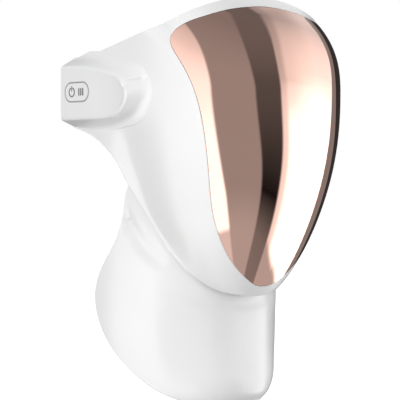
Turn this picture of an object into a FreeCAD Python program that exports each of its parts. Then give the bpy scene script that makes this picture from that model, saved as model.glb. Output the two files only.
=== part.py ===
import FreeCAD, Part
import math
import os

# LED face mask, in millimetres. +Z is up, -Y is the way the face looks, +X is the wearer's left.
# The origin is the point between the eyes where the nose pad rests on the bridge of the nose.

# ---- driving dimensions -------------------------------------------------------------------
FACE_HALF_WIDTH = 80.0      # widest half width of the face frame
WIDEST_Z = 10.0             # height of the widest section
CHIN_DROP = 150.0           # from the widest section down to where the body would close
BROW_Y = -45.5              # foremost point of the visor
FOREMOST_Z = 11.0           # height of the foremost point
SHOULDER_Y = 50.0           # where the rounded front runs out into straight sides
FACE_POWER = 2.3            # squareness of the face sections
WALL = 3.0                  # wall of the white frame
VISOR_WALL = 2.5
VISOR_GAP = 0.25            # gap between the visor's edge and the frame
GASKET = (3.15, 3.4)        # depths of the visor gasket's faces below the outer surface
CARRIER = (3.6, 5.4)        # the same for the visor carrier
BOARD = (12.0, 13.0)        # the LED boards
RIBBON = (12.3, 12.7)
INNER_SHELL = (18.0, 20.0)
FOREHEAD_PAD = (20.1, 27.0)
ARM_END_Y = 118.0           # the arms end in flat faces at this Y
POD_FACE_X = 92.0           # flat outer face of the side pods
POD_BASE_X = 78.5           # the pods start inside the arm wall
NECK_FRONT_Y = 16.5
NECK_SHOULDER_Y = 95.0
NECK_WALL = 2.2
NECK_BOARD = (4.0, 5.0)
NECK_INNER = (7.0, 9.0)
HINGE_Y = 54.0              # axis of the neck hinge, along X
HINGE_Z = -40.0
HINGE_PIN_R = 2.5
HINGE_CLEARANCE = 0.05      # radial running clearance of the hinge
BUTTON_Y = 99.0
BUTTON_Z = 12.75
BUTTON_LENGTH = 27.0
BUTTON_HEIGHT = 13.0
BUTTON_GAP = 0.35
BEZEL_WIDTH = 0.7
LED_R = 1.7
LED_HEIGHT = 1.2
SCREW_R = 1.5               # screws that hold the inner shell
SHELL_POST_R = 4.0
POD_SCREW_R = 1.0           # screws that hold the pod covers
POD_POST_R = 3.2
HINGE_POST_R = 6.0
HINGE_POST_X = 66.5         # the frame's hinge posts end here
EAR_X = (49.5, 65.5)        # the neck piece's ears turn between these
EAR_R = 7.0
WASHER_X = ((48.4, 49.2), (65.8, 66.5))
WASHER_R = 5.5
PIN_X = (46.9, 48.4, 73.0)  # hinge pin: inner end of the head, head to shaft, outer end
PIN_HEAD_R = 4.5
NOSE_OPENING = (-34.0, 13.0, 19.0)      # height, half width and half height
MOUTH_OPENING = (-76.0, 21.0, 7.0)
SEAL_WIDTH = 2.5
EYE_RING = (1.0, 5.0)       # inner and outer margins of the eye shield round the openings
EYE_X = 33.0                # half the distance between the eye openings' centres
EYE_HALF = (21.0, 13.0)     # half width and half height of an eye opening

# ---- outlines, chosen by hand -------------------------------------------------------------
# Half outline of the visor in the front view (X, Z), from the top centre down to the chin.
VISOR_EDGE = [(0, 72.5), (22, 70.8), (42, 66.2), (60, 59.6), (70, 53.6), (74.2, 46), (73.6, 33),
              (69.5, 10), (64.5, -25), (57.5, -62), (46, -91.5), (30, -112.5), (14, -123.8),
              (0, -127.5)]
# Half outline of the crown's rim in the front view, from the top centre to the kink over the arm.
CROWN_RIM = [(0, 79), (22, 78.3), (36, 75.5), (50, 71.5), (62, 67), (71, 62), (77, 57.5), (79.6, 53)]
# Side view outlines (Y, Z) of the arm and of the frame's lower edge.
ARM_TOP = [(118, 39), (89, 42), (72, 45.5), (55, 49.3), (38, 53)]
FRAME_LOWER = [(118, -12.5), (101, -17), (87, -23), (72, -35), (62, -52), (54, -68), (47, -84),
               (35, -108), (22, -123.5), (8, -132.5), (-6, -136)]
# Side view outlines of the inner shell's rear edge and of the neck piece.
INNER_REAR = [(44, 0), (44, -25), (40, -46), (33, -66), (24, -88), (12, -106), (-10, -114)]
NECK_TOP = [(65, -29), (49, -31), (44, -46), (37, -74), (27, -97), (14, -115)]
NECK_REAR = [(71, -37), (76, -62), (77, -84), (83, -100), (94, -118), (98.5, -138), (93, -156),
             (80, -175), (62, -192), (43, -203.5), (28, -210), (12, -213)]
# Side view outlines of a pod where it leaves the arm and at its flat face, before the arm's end
# is cut flat.
POD_BASE = [(121, 38.5), (90, 38.5), (60, 33), (41, 25), (34, 12), (40, 0), (60, -9), (90, -12),
            (121, -12)]
POD_FACE = [(121, 32), (90, 30.3), (66, 26.5), (48, 20.5), (39, 9), (46, -1.5), (62, -6.8),
            (90, -7.2), (121, -7.2)]

KINK_Y = 38.0                       # the crown's rim ends where the arm's top edge begins

SIDES = {"right": -1, "left": 1}    # the wearer's right is -X
FAR = 120.0


def v(x, y, z):
    return FreeCAD.Vector(x, y, z)


# ---- the two body forms -------------------------------------------------------------------
class FaceForm:
    """Horizontal sections of the face: a rounded front that runs into straight sides."""

    power = FACE_POWER
    rear = 125.0
    stations = (-132, -125, -115, -101, -84, -62, -38, -12, 12, 32, 46, 56, 64, 70, 75, 80, 85, 90)

    @staticmethod
    def half_width(z):
        drop = max(0.0, (WIDEST_Z - z) / CHIN_DROP)
        return FACE_HALF_WIDTH * math.sqrt(1.0 - min(drop, 0.999) ** 2.4)

    @staticmethod
    def shoulder(z):
        return SHOULDER_Y - 30.0 * max(0.0, (-60.0 - z) / 75.0) ** 2

    @staticmethod
    def front(z):
        if z < FOREMOST_Z:
            return BROW_Y + 46.5 * ((FOREMOST_Z - z) / 142.0) ** 2.1
        rise = (z - FOREMOST_Z) / 60.0
        return BROW_Y + 40.0 * rise ** 2.6 - 160.0 * max(0.0, rise - 0.9) ** 2


class NeckForm:
    """Horizontal sections of the neck piece: half an ellipse that runs into straight sides."""

    power = 2.0
    rear = 115.0
    stations = (-208, -192, -172, -150, -125, -98, -70, -46, -26)

    @staticmethod
    def half_width(z):
        if z > -150.0:
            return 76.0 - 12.0 * ((z + 150.0) / 100.0) ** 2
        return 76.0 - 10.0 * ((z + 150.0) / 60.0) ** 2

    @staticmethod
    def shoulder(z):
        return NECK_SHOULDER_Y

    @staticmethod
    def front(z):
        return NECK_FRONT_Y - 5.0 * (max(0.0, -150.0 - z) / 50.0) ** 2


def surface_y(form, x, z, inset=0.0):
    """Y of the form's front surface, sunk by the inset, at a place in the front view."""
    across = min(1.0, abs(x) / (form.half_width(z) - inset))
    depth = form.shoulder(z) - form.front(z) - inset
    return form.shoulder(z) - depth * (1.0 - across ** form.power) ** (1.0 / form.power)


def surface_x(form, y, z, inset=0.0):
    """Half width of the form, sunk by the inset, at a place in the side view."""
    back = (form.shoulder(z) - y) / (form.shoulder(z) - form.front(z) - inset)
    back = min(1.0, max(0.0, back))
    return (form.half_width(z) - inset) * (1.0 - back ** form.power) ** (1.0 / form.power)


def even_steps(count):
    return [float(i) for i in range(count)]


def section_wire(form, z, inset, rear):
    half = form.half_width(z) - inset
    shoulder = form.shoulder(z)
    depth = shoulder - form.front(z) - inset
    steps = 9
    points = []
    for i in range(-steps, steps + 1):
        angle = math.radians(90.0 * i / steps)
        side = abs(math.sin(angle)) ** (2.0 / form.power)
        ahead = abs(math.cos(angle)) ** (2.0 / form.power)
        points.append(v(math.copysign(half * side, angle), shoulder - depth * ahead, z))
    front = Part.BSplineCurve()
    front.interpolate(Points=points, Parameters=even_steps(len(points)))
    corners = [points[-1], v(half, rear, z), v(-half, rear, z), points[0]]
    edges = [front.toShape()]
    for start, end in zip(corners, corners[1:]):
        edges.append(Part.makeLine(start, end))
    return Part.Wire(edges)


def form_solid(form, inset, low, extra=0.0):
    """Solid of the form from a height up to its top, sunk by the inset."""
    heights = [low] + [z for z in form.stations if z > low + 2.0]
    wires = [section_wire(form, z, inset, form.rear + extra) for z in heights]
    return Part.makeLoft(wires, True, False)


def form_layer(form, outer, inner, low, region):
    """Curved layer between two depths below the form's surface, kept inside a region."""
    skin = form_solid(form, outer, low + 0.5).common(region)
    core = form_solid(form, inner, low, extra=5.0)
    return upright(skin.cut(core))


def upright(shape):
    """The same solid with its faces turned outwards."""
    if shape.Volume < 0:
        shape.reverse()
    return shape


# ---- cutters ------------------------------------------------------------------------------
CUTTER_APEX = v(0, 60.0, -20.0)     # the sides of the visor's and the crown's cuts point here


def box(x0, y0, z0, x1, y1, z1):
    low = v(min(x0, x1), min(y0, y1), min(z0, z1))
    return Part.makeBox(abs(x1 - x0), abs(y1 - y0), abs(z1 - z0), low)


def cylinder(start, end, radius):
    axis = end - start
    return Part.makeCylinder(radius, axis.Length, start, axis)


def spline(points):
    curve = Part.BSplineCurve()
    curve.interpolate(Points=points, Parameters=even_steps(len(points)))
    return curve.toShape()


def shifted(points, distance):
    """Outline moved sideways, to the left of its direction of travel."""
    moved = []
    for i, (a, b) in enumerate(points):
        before = points[max(i - 1, 0)]
        after = points[min(i + 1, len(points) - 1)]
        run = (after[0] - before[0], after[1] - before[1])
        length = math.hypot(*run)
        moved.append((a - distance * run[1] / length, b + distance * run[0] / length))
    return moved


def side_prism(*runs):
    """Solid across the whole width from a closed side view outline of curves and corners."""
    edges = []
    last = None
    for run in runs:
        points = [v(-FAR, y, z) for y, z in run]
        if last is not None and last.distanceToPoint(points[0]) > 1e-6:
            edges.append(Part.makeLine(last, points[0]))
        if len(points) > 1:
            edges.append(spline(points))
        last = points[-1]
    first = v(-FAR, *runs[0][0])
    edges.append(Part.makeLine(last, first))
    return Part.Face(Part.Wire(edges)).extrude(v(2 * FAR, 0, 0))


def cone_point(point, y):
    """Point carried along its ray from the cutter's apex to a plane of constant Y."""
    ray = point - CUTTER_APEX
    return CUTTER_APEX + ray * ((CUTTER_APEX.y - y) / (CUTTER_APEX.y - point.y))


def mirrored(half):
    """Whole curve from a half outline that starts on the middle plane."""
    return [(-x, z) for x, z in half[:0:-1]] + list(half)


def visor_outline(grow):
    """Half outline of the visor in the front view, grown by a margin."""
    half = shifted(VISOR_EDGE, grow)
    half[0] = (0, VISOR_EDGE[0][1] + grow)
    half[-1] = (0, VISOR_EDGE[-1][1] - grow)
    return half


def square_ended_spline(points):
    """Edge through points that leaves and meets the middle plane at right angles."""
    curve = Part.BSplineCurve()
    curve.interpolate(Points=points, Parameters=even_steps(len(points)),
                      InitialTangent=v(1, 0, 0), FinalTangent=v(-1, 0, 0))
    return curve.toShape()


def visor_cone(grow):
    """Cutter whose sides stand nearly square to the surface along the visor's outline."""
    points = [v(x, surface_y(FaceForm, x, z), z) for x, z in visor_outline(grow)]
    wires = []
    for y in (38.0, -80.0):
        edge = square_ended_spline([cone_point(p, y) for p in points])
        wires.append(Part.Wire([edge, edge.mirror(v(0, 0, 0), v(1, 0, 0))]))
    return Part.makeLoft(wires, True, True)


def crown_waste(drop):
    """Everything above the crown's rim, lowered by the drop."""
    half = [(x, z - drop) for x, z in CROWN_RIM]
    points = []
    for x, z in mirrored(half):
        points.append(v(x, min(KINK_Y, surface_y(FaceForm, x, z)), z))
    wires = []
    for y in (52.0, -80.0):
        flat = [cone_point(p, y) for p in points]
        reach = 2.2 * abs(flat[0].x)
        corners = [flat[-1], v(reach, y, flat[0].z), v(reach, y, 9 * reach), v(-reach, y, 9 * reach),
                   v(-reach, y, flat[0].z), flat[0]]
        edges = [spline(flat)]
        for start, end in zip(corners, corners[1:]):
            edges.append(Part.makeLine(start, end))
        wires.append(Part.Wire(edges))
    waste = Part.makeLoft(wires, True, True)
    return waste.common(box(-300, -80, -20, 300, KINK_Y, 300))


def frame_region():
    front = [(-70, -136)], [(-70, 95)], [(20, 95)]
    return side_prism(ARM_TOP[::-1], FRAME_LOWER, *front).cut(crown_waste(0.0))


def inner_region(inset):
    """Region inside the inner shell's edge, used for the shell and for the seal around it."""
    rear = shifted(INNER_REAR, -inset)
    rear[0] = (INNER_REAR[0][0] - inset, 0)
    top = [(KINK_Y - 0.5, 95)], [(KINK_Y - 0.5, 52 - inset)], [(rear[0][0], 50 - inset)]
    front = [(-70, rear[-1][1])], [(-70, 95)]
    return side_prism(*top, rear, *front).cut(crown_waste(inset))


def elliptic_prism(x, z, half_x, half_z, y0, y1):
    """Elliptic cylinder along Y."""
    if half_x >= half_z:
        ellipse = Part.Ellipse(v(0, 0, 0), half_x, half_z).toShape()
    else:
        ellipse = Part.Ellipse(v(0, 0, 0), half_z, half_x).toShape()
        ellipse.rotate(v(0, 0, 0), v(0, 0, 1), 90)
    face = Part.Face(Part.Wire(ellipse))
    face.rotate(v(0, 0, 0), v(1, 0, 0), 90)
    face.translate(v(x, y0, z))
    return face.extrude(v(0, y1 - y0, 0))


# ---- frame and visor ----------------------------------------------------------------------
def pod_outline(points, side, x):
    curve = spline([v(side * x, y, z) for y, z in points])
    start = v(side * x, *points[-1])
    end = v(side * x, *points[0])
    return Part.Wire([curve, Part.makeLine(start, end)])


def pod_block(side):
    wires = [pod_outline(POD_BASE, side, POD_BASE_X), pod_outline(POD_FACE, side, POD_FACE_X)]
    block = Part.makeLoft(wires, True, True)
    return block.common(box(-FAR, 0, -FAR, FAR, ARM_END_Y, FAR))


POCKET_DEEP_X = 89.5        # floor of the pod's pocket
COVER_X = (77.0, 79.0)      # the pod cover lies between these
POCKET_Y = (58.0, 116.0)
POCKET_Z = (-2.0, 22.0)
CAP_Y = (116.0, 118.0)      # the arm end cap


def pod_space(side):
    """Pocket for the electronics, with the seats of its cover and end cap."""
    pocket = box(side * POCKET_DEEP_X, POCKET_Y[0], POCKET_Z[0],
                 side * COVER_X[1], POCKET_Y[1], POCKET_Z[1])
    seat = box(side * (COVER_X[0] - 3), POCKET_Y[0] - 2, POCKET_Z[0] - 2,
               side * COVER_X[1], CAP_Y[0], POCKET_Z[1] + 2)
    cap = box(side * POCKET_DEEP_X, CAP_Y[0], POCKET_Z[0] - 2,
              side * (COVER_X[0] - 3), CAP_Y[1] + 2, POCKET_Z[1] + 2)
    return pocket.fuse([seat, cap])


POD_BOSSES = [(61.0, 1.0), (61.0, 19.0)]
SHELL_BOSSES = [(33.0, 28.0), (33.0, -4.0), (33.0, -36.0)]


def hinge_cylinder(side, x0, x1, radius):
    return cylinder(v(side * x0, HINGE_Y, HINGE_Z), v(side * x1, HINGE_Y, HINGE_Z), radius)


def face_frame():
    shell = form_layer(FaceForm, 0.0, WALL, -138.5, frame_region())
    shell = shell.cut(visor_cone(VISOR_GAP))
    for side in SIDES.values():
        shell = shell.fuse(pod_block(side)).cut(pod_space(side))
        for y, z in POD_BOSSES:
            post = cylinder(v(side * 90, y, z), v(side * COVER_X[1], y, z), POD_POST_R)
            hole = cylinder(v(side * 88, y, z), v(side * (COVER_X[1] - 1), y, z), POD_SCREW_R)
            shell = shell.fuse(post).cut(hole)
        for y, z in SHELL_BOSSES:
            far = surface_x(FaceForm, y, z) - 1.2
            near = surface_x(FaceForm, y, z, INNER_SHELL[0]) + 0.9
            post = cylinder(v(side * far, y, z), v(side * near, y, z), SHELL_POST_R)
            hole = cylinder(v(side * (near + 10), y, z), v(side * (near - 1), y, z), SCREW_R)
            shell = shell.fuse(post).cut(hole)
        wall_x = surface_x(FaceForm, HINGE_Y, HINGE_Z) - 1.2
        post = hinge_cylinder(side, wall_x, HINGE_POST_X, HINGE_POST_R)
        hole = hinge_cylinder(side, PIN_X[2], EAR_X[1], HINGE_PIN_R)
        shell = shell.fuse(post.common(frame_region())).cut(hole)
    window = pill(-POD_FACE_X - 1, -POCKET_DEEP_X + 1, BUTTON_GAP + BEZEL_WIDTH)
    return shell.cut(window)


def front_visor():
    return form_layer(FaceForm, 0.0, VISOR_WALL, -138.5, visor_cone(0.0))


def sunk_point(x, z, inset):
    """Point on the ray from a place on the face's surface to the cutter's apex, at a depth."""
    start = v(x, surface_y(FaceForm, x, z), z)
    shallow, deep = 0.0, 0.4
    for _ in range(40):
        share = (shallow + deep) / 2
        point = start + (CUTTER_APEX - start) * share
        if point.y < surface_y(FaceForm, point.x, point.z, inset):
            shallow = share
        else:
            deep = share
    return point


def visor_rail(grow, inset):
    """Half of a closed curve along the visor's edge, at a depth below the surface."""
    return square_ended_spline([sunk_point(x, z, inset) for x, z in visor_outline(grow)])


def visor_band(outer_grow, inner_grow, depths):
    """Flat band that follows the visor's edge all the way round."""
    corners = [(outer_grow, depths[0]), (inner_grow, depths[0]), (inner_grow, depths[1]),
               (outer_grow, depths[1])]
    rails = [visor_rail(grow, inset) for grow, inset in corners]
    faces = []
    for i, rail in enumerate(rails):
        face = Part.makeRuledSurface(rail, rails[i - 1])
        faces += [face, face.mirror(v(0, 0, 0), v(1, 0, 0))]
    shell = Part.makeShell(faces)
    shell.sewShape()
    return upright(Part.makeSolid(shell))


def visor_gasket():
    return visor_band(-0.8, -3.8, GASKET)


def visor_carrier():
    return visor_band(2.0, -4.5, CARRIER)


# ---- inner shell and what touches the wearer ----------------------------------------------
def inner_shell():
    shell = form_layer(FaceForm, INNER_SHELL[0], INNER_SHELL[1], -118.0, inner_region(0.0))
    for side in SIDES.values():
        shell = shell.cut(eye_prism(side, 0, -60, 20))
        for y, z in SHELL_BOSSES:
            hole = cylinder(v(side * 50, y, z), v(side * 76, y, z), SCREW_R + 0.1)
            shell = shell.cut(hole)
    for opening in (NOSE_OPENING, MOUTH_OPENING):
        shell = shell.cut(elliptic_prism(0, *opening, -60, 25))
    return shell


def rim_seal():
    band = inner_region(0.0).cut(inner_region(SEAL_WIDTH))
    seal = form_layer(FaceForm, WALL + 0.4, INNER_SHELL[0] - 0.1, -118.0, band)
    return seal.cut(visor_band(2.4, -4.9, (GASKET[0] - 0.6, CARRIER[1] + 0.3)))


def eye_prism(side, margin, y0, y1):
    """Elliptic cylinder round an eye opening."""
    return elliptic_prism(side * EYE_X, 0, EYE_HALF[0] + margin, EYE_HALF[1] + margin, y0, y1)


def eye_shield():
    """Two rings round the eye openings with a bridge between them."""
    shield = box(-10, -15, 0, 10, -9, 6)
    for side in SIDES.values():
        shield = shield.fuse(eye_prism(side, EYE_RING[1], -40, -6))
    for side in SIDES.values():
        shield = shield.cut(eye_prism(side, EYE_RING[0], -60, 0))
    return shield.common(form_solid(FaceForm, INNER_SHELL[1] + 0.3, -101.0))


def nose_pad():
    block = box(-12, -40, -14, 12, 0, -2)
    for side in SIDES.values():
        block = block.cut(eye_prism(side, EYE_RING[1] + 0.3, -60, 20))
    notch = Part.makePolygon([v(-8, 1, -20), v(8, 1, -20), v(3, -12, -20), v(-3, -12, -20),
                              v(-8, 1, -20)])
    block = block.cut(Part.Face(notch).extrude(v(0, 0, 30)))
    return block.common(form_solid(FaceForm, INNER_SHELL[1] + 0.3, -101.0))


def forehead_pad():
    return form_layer(FaceForm, FOREHEAD_PAD[0], FOREHEAD_PAD[1], -62.0, box(-42, -40, 42, 42, 40, 60))


# ---- LED boards ---------------------------------------------------------------------------
BOARD_AREAS = {
    "forehead_led_board": (-54.0, 54.0, 24.0, 55.0),
    "right_cheek_led_board": (-54.0, -17.0, -66.0, -22.0),
    "left_cheek_led_board": (17.0, 54.0, -66.0, -22.0),
    "chin_led_board": (-24.0, 24.0, -106.0, -88.0),
}
BOARD_LEDS = {      # columns and rows of LEDs
    "forehead_led_board": (9, 3),
    "right_cheek_led_board": (3, 4),
    "left_cheek_led_board": (3, 4),
    "chin_led_board": (5, 2),
}


def led_board(name):
    left, right, low, high = BOARD_AREAS[name]
    return form_layer(FaceForm, BOARD[0], BOARD[1], -118.0, box(left, -60, low, right, 45, high))


def board_ribbons():
    """Flat ribbons from the forehead board down both sides and from the cheeks to the chin."""
    ribbons = []
    for side in SIDES.values():
        long_way = box(side * 48, -60, -22, side * 54, 45, 24)
        short_way = box(side * 18, -60, -88, side * 24, 45, -66)
        for way in (long_way, short_way):
            ribbons.append(form_layer(FaceForm, RIBBON[0], RIBBON[1], -118.0, way))
    return Part.Compound(ribbons)


def surface_normal(form, x, z, inset):
    """Unit vector into the mask, square to the form's front surface."""
    step = 0.5
    along_x = (surface_y(form, x + step, z, inset) - surface_y(form, x - step, z, inset)) / (2 * step)
    along_z = (surface_y(form, x, z + step, inset) - surface_y(form, x, z - step, inset)) / (2 * step)
    normal = v(-along_x, 1.0, -along_z)
    return normal.normalize()


def led(form, x, z, inset):
    """One LED standing on a board's rear face."""
    normal = surface_normal(form, x, z, inset)
    base = v(x, surface_y(form, x, z, inset), z) + normal * 0.08
    return Part.makeCylinder(LED_R, LED_HEIGHT, base, normal)


def face_leds():
    leds = []
    for name, (left, right, low, high) in BOARD_AREAS.items():
        columns, rows = BOARD_LEDS[name]
        for i in range(columns):
            for k in range(rows):
                x = left + (right - left) * (i + 0.5) / columns
                z = low + (high - low) * (k + 0.5) / rows
                leds.append(led(FaceForm, x, z, BOARD[1]))
    return Part.Compound(leds)


# ---- fasteners of the face ----------------------------------------------------------------
def frame_screws():
    screws = []
    for side in SIDES.values():
        for y, z in SHELL_BOSSES:
            skin = surface_x(FaceForm, y, z, INNER_SHELL[1]) - 0.5
            shaft = cylinder(v(side * skin, y, z), v(side * (skin + 11), y, z), SCREW_R)
            head = cylinder(v(side * (skin - 2), y, z), v(side * skin, y, z), 2.8)
            slot = box(side * (skin - 3), y - 2, z - 0.4, side * (skin - 1.2), y + 2, z + 0.4)
            screws.append(shaft.fuse(head).cut(slot))
    return Part.Compound(screws)


def pod_screws():
    screws = []
    for side in SIDES.values():
        for y, z in POD_BOSSES:
            shaft = cylinder(v(side * 77.6, y, z), v(side * 86, y, z), POD_SCREW_R)
            head = cylinder(v(side * 76.9, y, z), v(side * 77.9, y, z), 2.0)
            slot = box(side * 76.5, y - 1.5, z - 0.3, side * 77.4, y + 1.5, z + 0.3)
            screws.append(shaft.fuse(head).cut(slot))
    return Part.Compound(screws)


# ---- pods ---------------------------------------------------------------------------------
STRAP_SLOT_X = (79.1, 83.5)
STRAP_SLOT_Z = (0.5, 20.5)


def pod_cover(side):
    cover = box(side * COVER_X[0], POCKET_Y[0] - 1.9, POCKET_Z[0] - 1.9,
                side * COVER_X[1], CAP_Y[0] - 0.1, POCKET_Z[1] + 1.9)
    for y, z in POD_BOSSES:
        cover = cover.cut(cylinder(v(side * 70, y, z), v(side * 85, y, z), 1.1))
        cover = cover.cut(cylinder(v(side * 70, y, z), v(side * 77.95, y, z), 2.1))
    return cover


def arm_end_cap(side):
    cap = box(side * (POCKET_DEEP_X - 0.1), CAP_Y[0], POCKET_Z[0] - 1.9,
              side * COVER_X[0], CAP_Y[1], POCKET_Z[1] + 1.9)
    slot = box(side * STRAP_SLOT_X[0], CAP_Y[0] - 1, STRAP_SLOT_Z[0],
               side * STRAP_SLOT_X[1], CAP_Y[1] + 1, STRAP_SLOT_Z[1])
    cap = cap.cut(slot)
    if side > 0:
        cap = cap.cut(port_opening(0.2))
    return cap


PORT_X = 86.8               # middle of the charging port
PORT_Z = 10.5
PORT_SIZE = (3.2, 9.0)      # thickness along X, width along Z


def port_opening(grow):
    """Slot with round ends that the charging port's mouth fills."""
    half_x = PORT_SIZE[0] / 2 + grow
    reach = PORT_SIZE[1] / 2 - PORT_SIZE[0] / 2
    body = box(PORT_X - half_x, 109.5, PORT_Z - reach, PORT_X + half_x, 120, PORT_Z + reach)
    for end in (-reach, reach):
        body = body.fuse(cylinder(v(PORT_X, 109.5, PORT_Z + end), v(PORT_X, 120, PORT_Z + end), half_x))
    return body


def usb_c_port():
    body = port_opening(0.0).common(box(80, 109.5, 0, 92, 117.6, 30))
    mouth = port_opening(-0.4).common(box(80, 111.5, 0, 92, 119, 30))
    tongue = box(PORT_X - 0.35, 111, PORT_Z - 3.2, PORT_X + 0.35, 116.5, PORT_Z + 3.2)
    return body.cut(mouth).fuse(tongue)


def strap_bars():
    bars = []
    for side in SIDES.values():
        x = side * (STRAP_SLOT_X[0] + STRAP_SLOT_X[1]) / 2
        bars.append(cylinder(v(x, 109, POCKET_Z[0]), v(x, 109, POCKET_Z[1]), 0.9))
    return Part.Compound(bars)


CONTROL_BOARD_X = (83.8, 85.0)
SWITCH_X = (85.0, 87.2)
PLUNGER_R = 1.6
FLANGE_X = (88.3, 89.3)


def control_board():
    return box(-CONTROL_BOARD_X[0], 66, POCKET_Z[0] + 1, -CONTROL_BOARD_X[1], 115, POCKET_Z[1] - 1)


def control_chip():
    return box(-CONTROL_BOARD_X[1], 69, 6, -CONTROL_BOARD_X[1] - 1.2, 77, 14)


def tact_switch():
    body = box(-SWITCH_X[0], BUTTON_Y - 3, BUTTON_Z - 3, -SWITCH_X[1], BUTTON_Y + 3, BUTTON_Z + 3)
    bore = cylinder(v(-SWITCH_X[1] - 1, BUTTON_Y, BUTTON_Z),
                    v(-SWITCH_X[0] - 0.3, BUTTON_Y, BUTTON_Z), PLUNGER_R + 0.3)
    return body.cut(bore)


def battery_cell():
    cell = box(84.3, 65, 0, 89.2, 105, 20)
    edges = [e for e in cell.Edges if abs(e.tangentAt(e.FirstParameter).y) > 0.9]
    return cell.makeFillet(1.5, edges)


def battery_pad():
    return box(83.6, 66, 2, 84.2, 103, 18)


def charge_board():
    return box(84.0, 107, 1, 85.1, 115.5, 20)


# ---- power button -------------------------------------------------------------------------
def pill(x0, x1, grow):
    """Round-ended bar along Y in the pod's flat face, grown by a margin all round."""
    radius = BUTTON_HEIGHT / 2 + grow
    reach = BUTTON_LENGTH / 2 - BUTTON_HEIGHT / 2
    body = box(x0, BUTTON_Y - reach, BUTTON_Z - radius, x1, BUTTON_Y + reach, BUTTON_Z + radius)
    for end in (-reach, reach):
        body = body.fuse(cylinder(v(x0, BUTTON_Y + end, BUTTON_Z), v(x1, BUTTON_Y + end, BUTTON_Z), radius))
    return body.removeSplitter()


def button_bezel():
    ring = pill(-POD_FACE_X, -POCKET_DEEP_X, BUTTON_GAP + BEZEL_WIDTH)
    return ring.cut(pill(-POD_FACE_X - 1, -POCKET_DEEP_X + 1, BUTTON_GAP))


def power_button():
    cap = pill(-POD_FACE_X, -FLANGE_X[1], 0.0)
    flange = pill(-FLANGE_X[1], -FLANGE_X[0], 0.9)
    return cap.fuse(flange)


def power_icon():
    """Ring with a gap at the top and a short bar in it."""
    y = BUTTON_Y + 5.7
    face = -POD_FACE_X
    ring = cylinder(v(face, y, BUTTON_Z), v(face - 0.15, y, BUTTON_Z), 3.6)
    ring = ring.cut(cylinder(v(face + 1, y, BUTTON_Z), v(face - 1, y, BUTTON_Z), 2.7))
    ring = ring.cut(box(face + 1, y - 1.0, BUTTON_Z, face - 1, y + 1.0, BUTTON_Z + 5))
    bar = box(face, y - 0.35, BUTTON_Z + 0.6, face - 0.15, y + 0.35, BUTTON_Z + 4.5)
    return Part.Compound([ring, bar])


def level_bars():
    bars = []
    for i in range(3):
        y = BUTTON_Y - 2.9 - 2.3 * i
        bars.append(box(-POD_FACE_X, y - 0.6, BUTTON_Z - 2.7, -POD_FACE_X - 0.15, y + 0.6, BUTTON_Z + 2.7))
    return Part.Compound(bars)


def switch_plunger():
    return cylinder(v(-FLANGE_X[0], BUTTON_Y, BUTTON_Z), v(-SWITCH_X[1] + 1.0, BUTTON_Y, BUTTON_Z), PLUNGER_R)


# ---- neck piece ---------------------------------------------------------------------------
NECK_LOW = -214.5
LINING_TOP_Z = -78.0


def neck_region(inset):
    """Side view region of the neck piece."""
    top = shifted(NECK_TOP, inset)
    rear = shifted(NECK_REAR[::-1], inset)
    front = [(0, rear[0][1])], [(0, top[-1][1])]
    return side_prism(rear, top, front[1], front[0])


def lined_neck_region(inset):
    """The part of the neck piece that has LEDs and so an inner shell."""
    return neck_region(inset).common(box(-FAR, -5, NECK_LOW - 2, FAR, 120, LINING_TOP_Z - inset))


def neck_outer_shell():
    shell = form_layer(NeckForm, 0.0, NECK_WALL, NECK_LOW, neck_region(0.0))
    for side in SIDES.values():
        ear = hinge_cylinder(side, *EAR_X, EAR_R)
        recess = hinge_cylinder(side, PIN_X[0] - 7, EAR_X[0], WASHER_R + 0.7)
        hole = hinge_cylinder(side, EAR_X[0] - 1, EAR_X[1] + 1, HINGE_PIN_R + HINGE_CLEARANCE)
        shell = shell.fuse(ear).cut(recess).cut(hole)
    return shell


def neck_inner_shell():
    return form_layer(NeckForm, NECK_INNER[0], NECK_INNER[1], NECK_LOW, lined_neck_region(0.0))


def neck_edge_trim():
    band = lined_neck_region(0.0).cut(lined_neck_region(SEAL_WIDTH))
    return form_layer(NeckForm, NECK_WALL + 0.05, NECK_INNER[0] - 0.05, NECK_LOW, band)


NECK_BOARD_AREA = (-50.0, 50.0, -196.0, -128.0)


def neck_led_board():
    left, right, low, high = NECK_BOARD_AREA
    return form_layer(NeckForm, NECK_BOARD[0], NECK_BOARD[1], NECK_LOW, box(left, 0, low, right, 80, high))


def neck_leds():
    leds = []
    left, right, low, high = NECK_BOARD_AREA
    columns, rows = 8, 4
    for i in range(columns):
        for k in range(rows):
            x = left + (right - left) * (i + 0.5) / columns
            z = low + (high - low) * (k + 0.5) / rows
            leds.append(led(NeckForm, x, z, NECK_BOARD[1]))
    return Part.Compound(leds)


def hinge_pin(side):
    shaft = hinge_cylinder(side, PIN_X[1], PIN_X[2], HINGE_PIN_R)
    return shaft.fuse(hinge_cylinder(side, PIN_X[0], PIN_X[1], PIN_HEAD_R))


def hinge_washers():
    """Friction washers on both sides of each ear."""
    washers = []
    for side in SIDES.values():
        for x0, x1 in WASHER_X:
            ring = hinge_cylinder(side, x0, x1, WASHER_R)
            washers.append(ring.cut(hinge_cylinder(side, x0 - 1, x1 + 1, HINGE_PIN_R)))
    return Part.Compound(washers)


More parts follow.
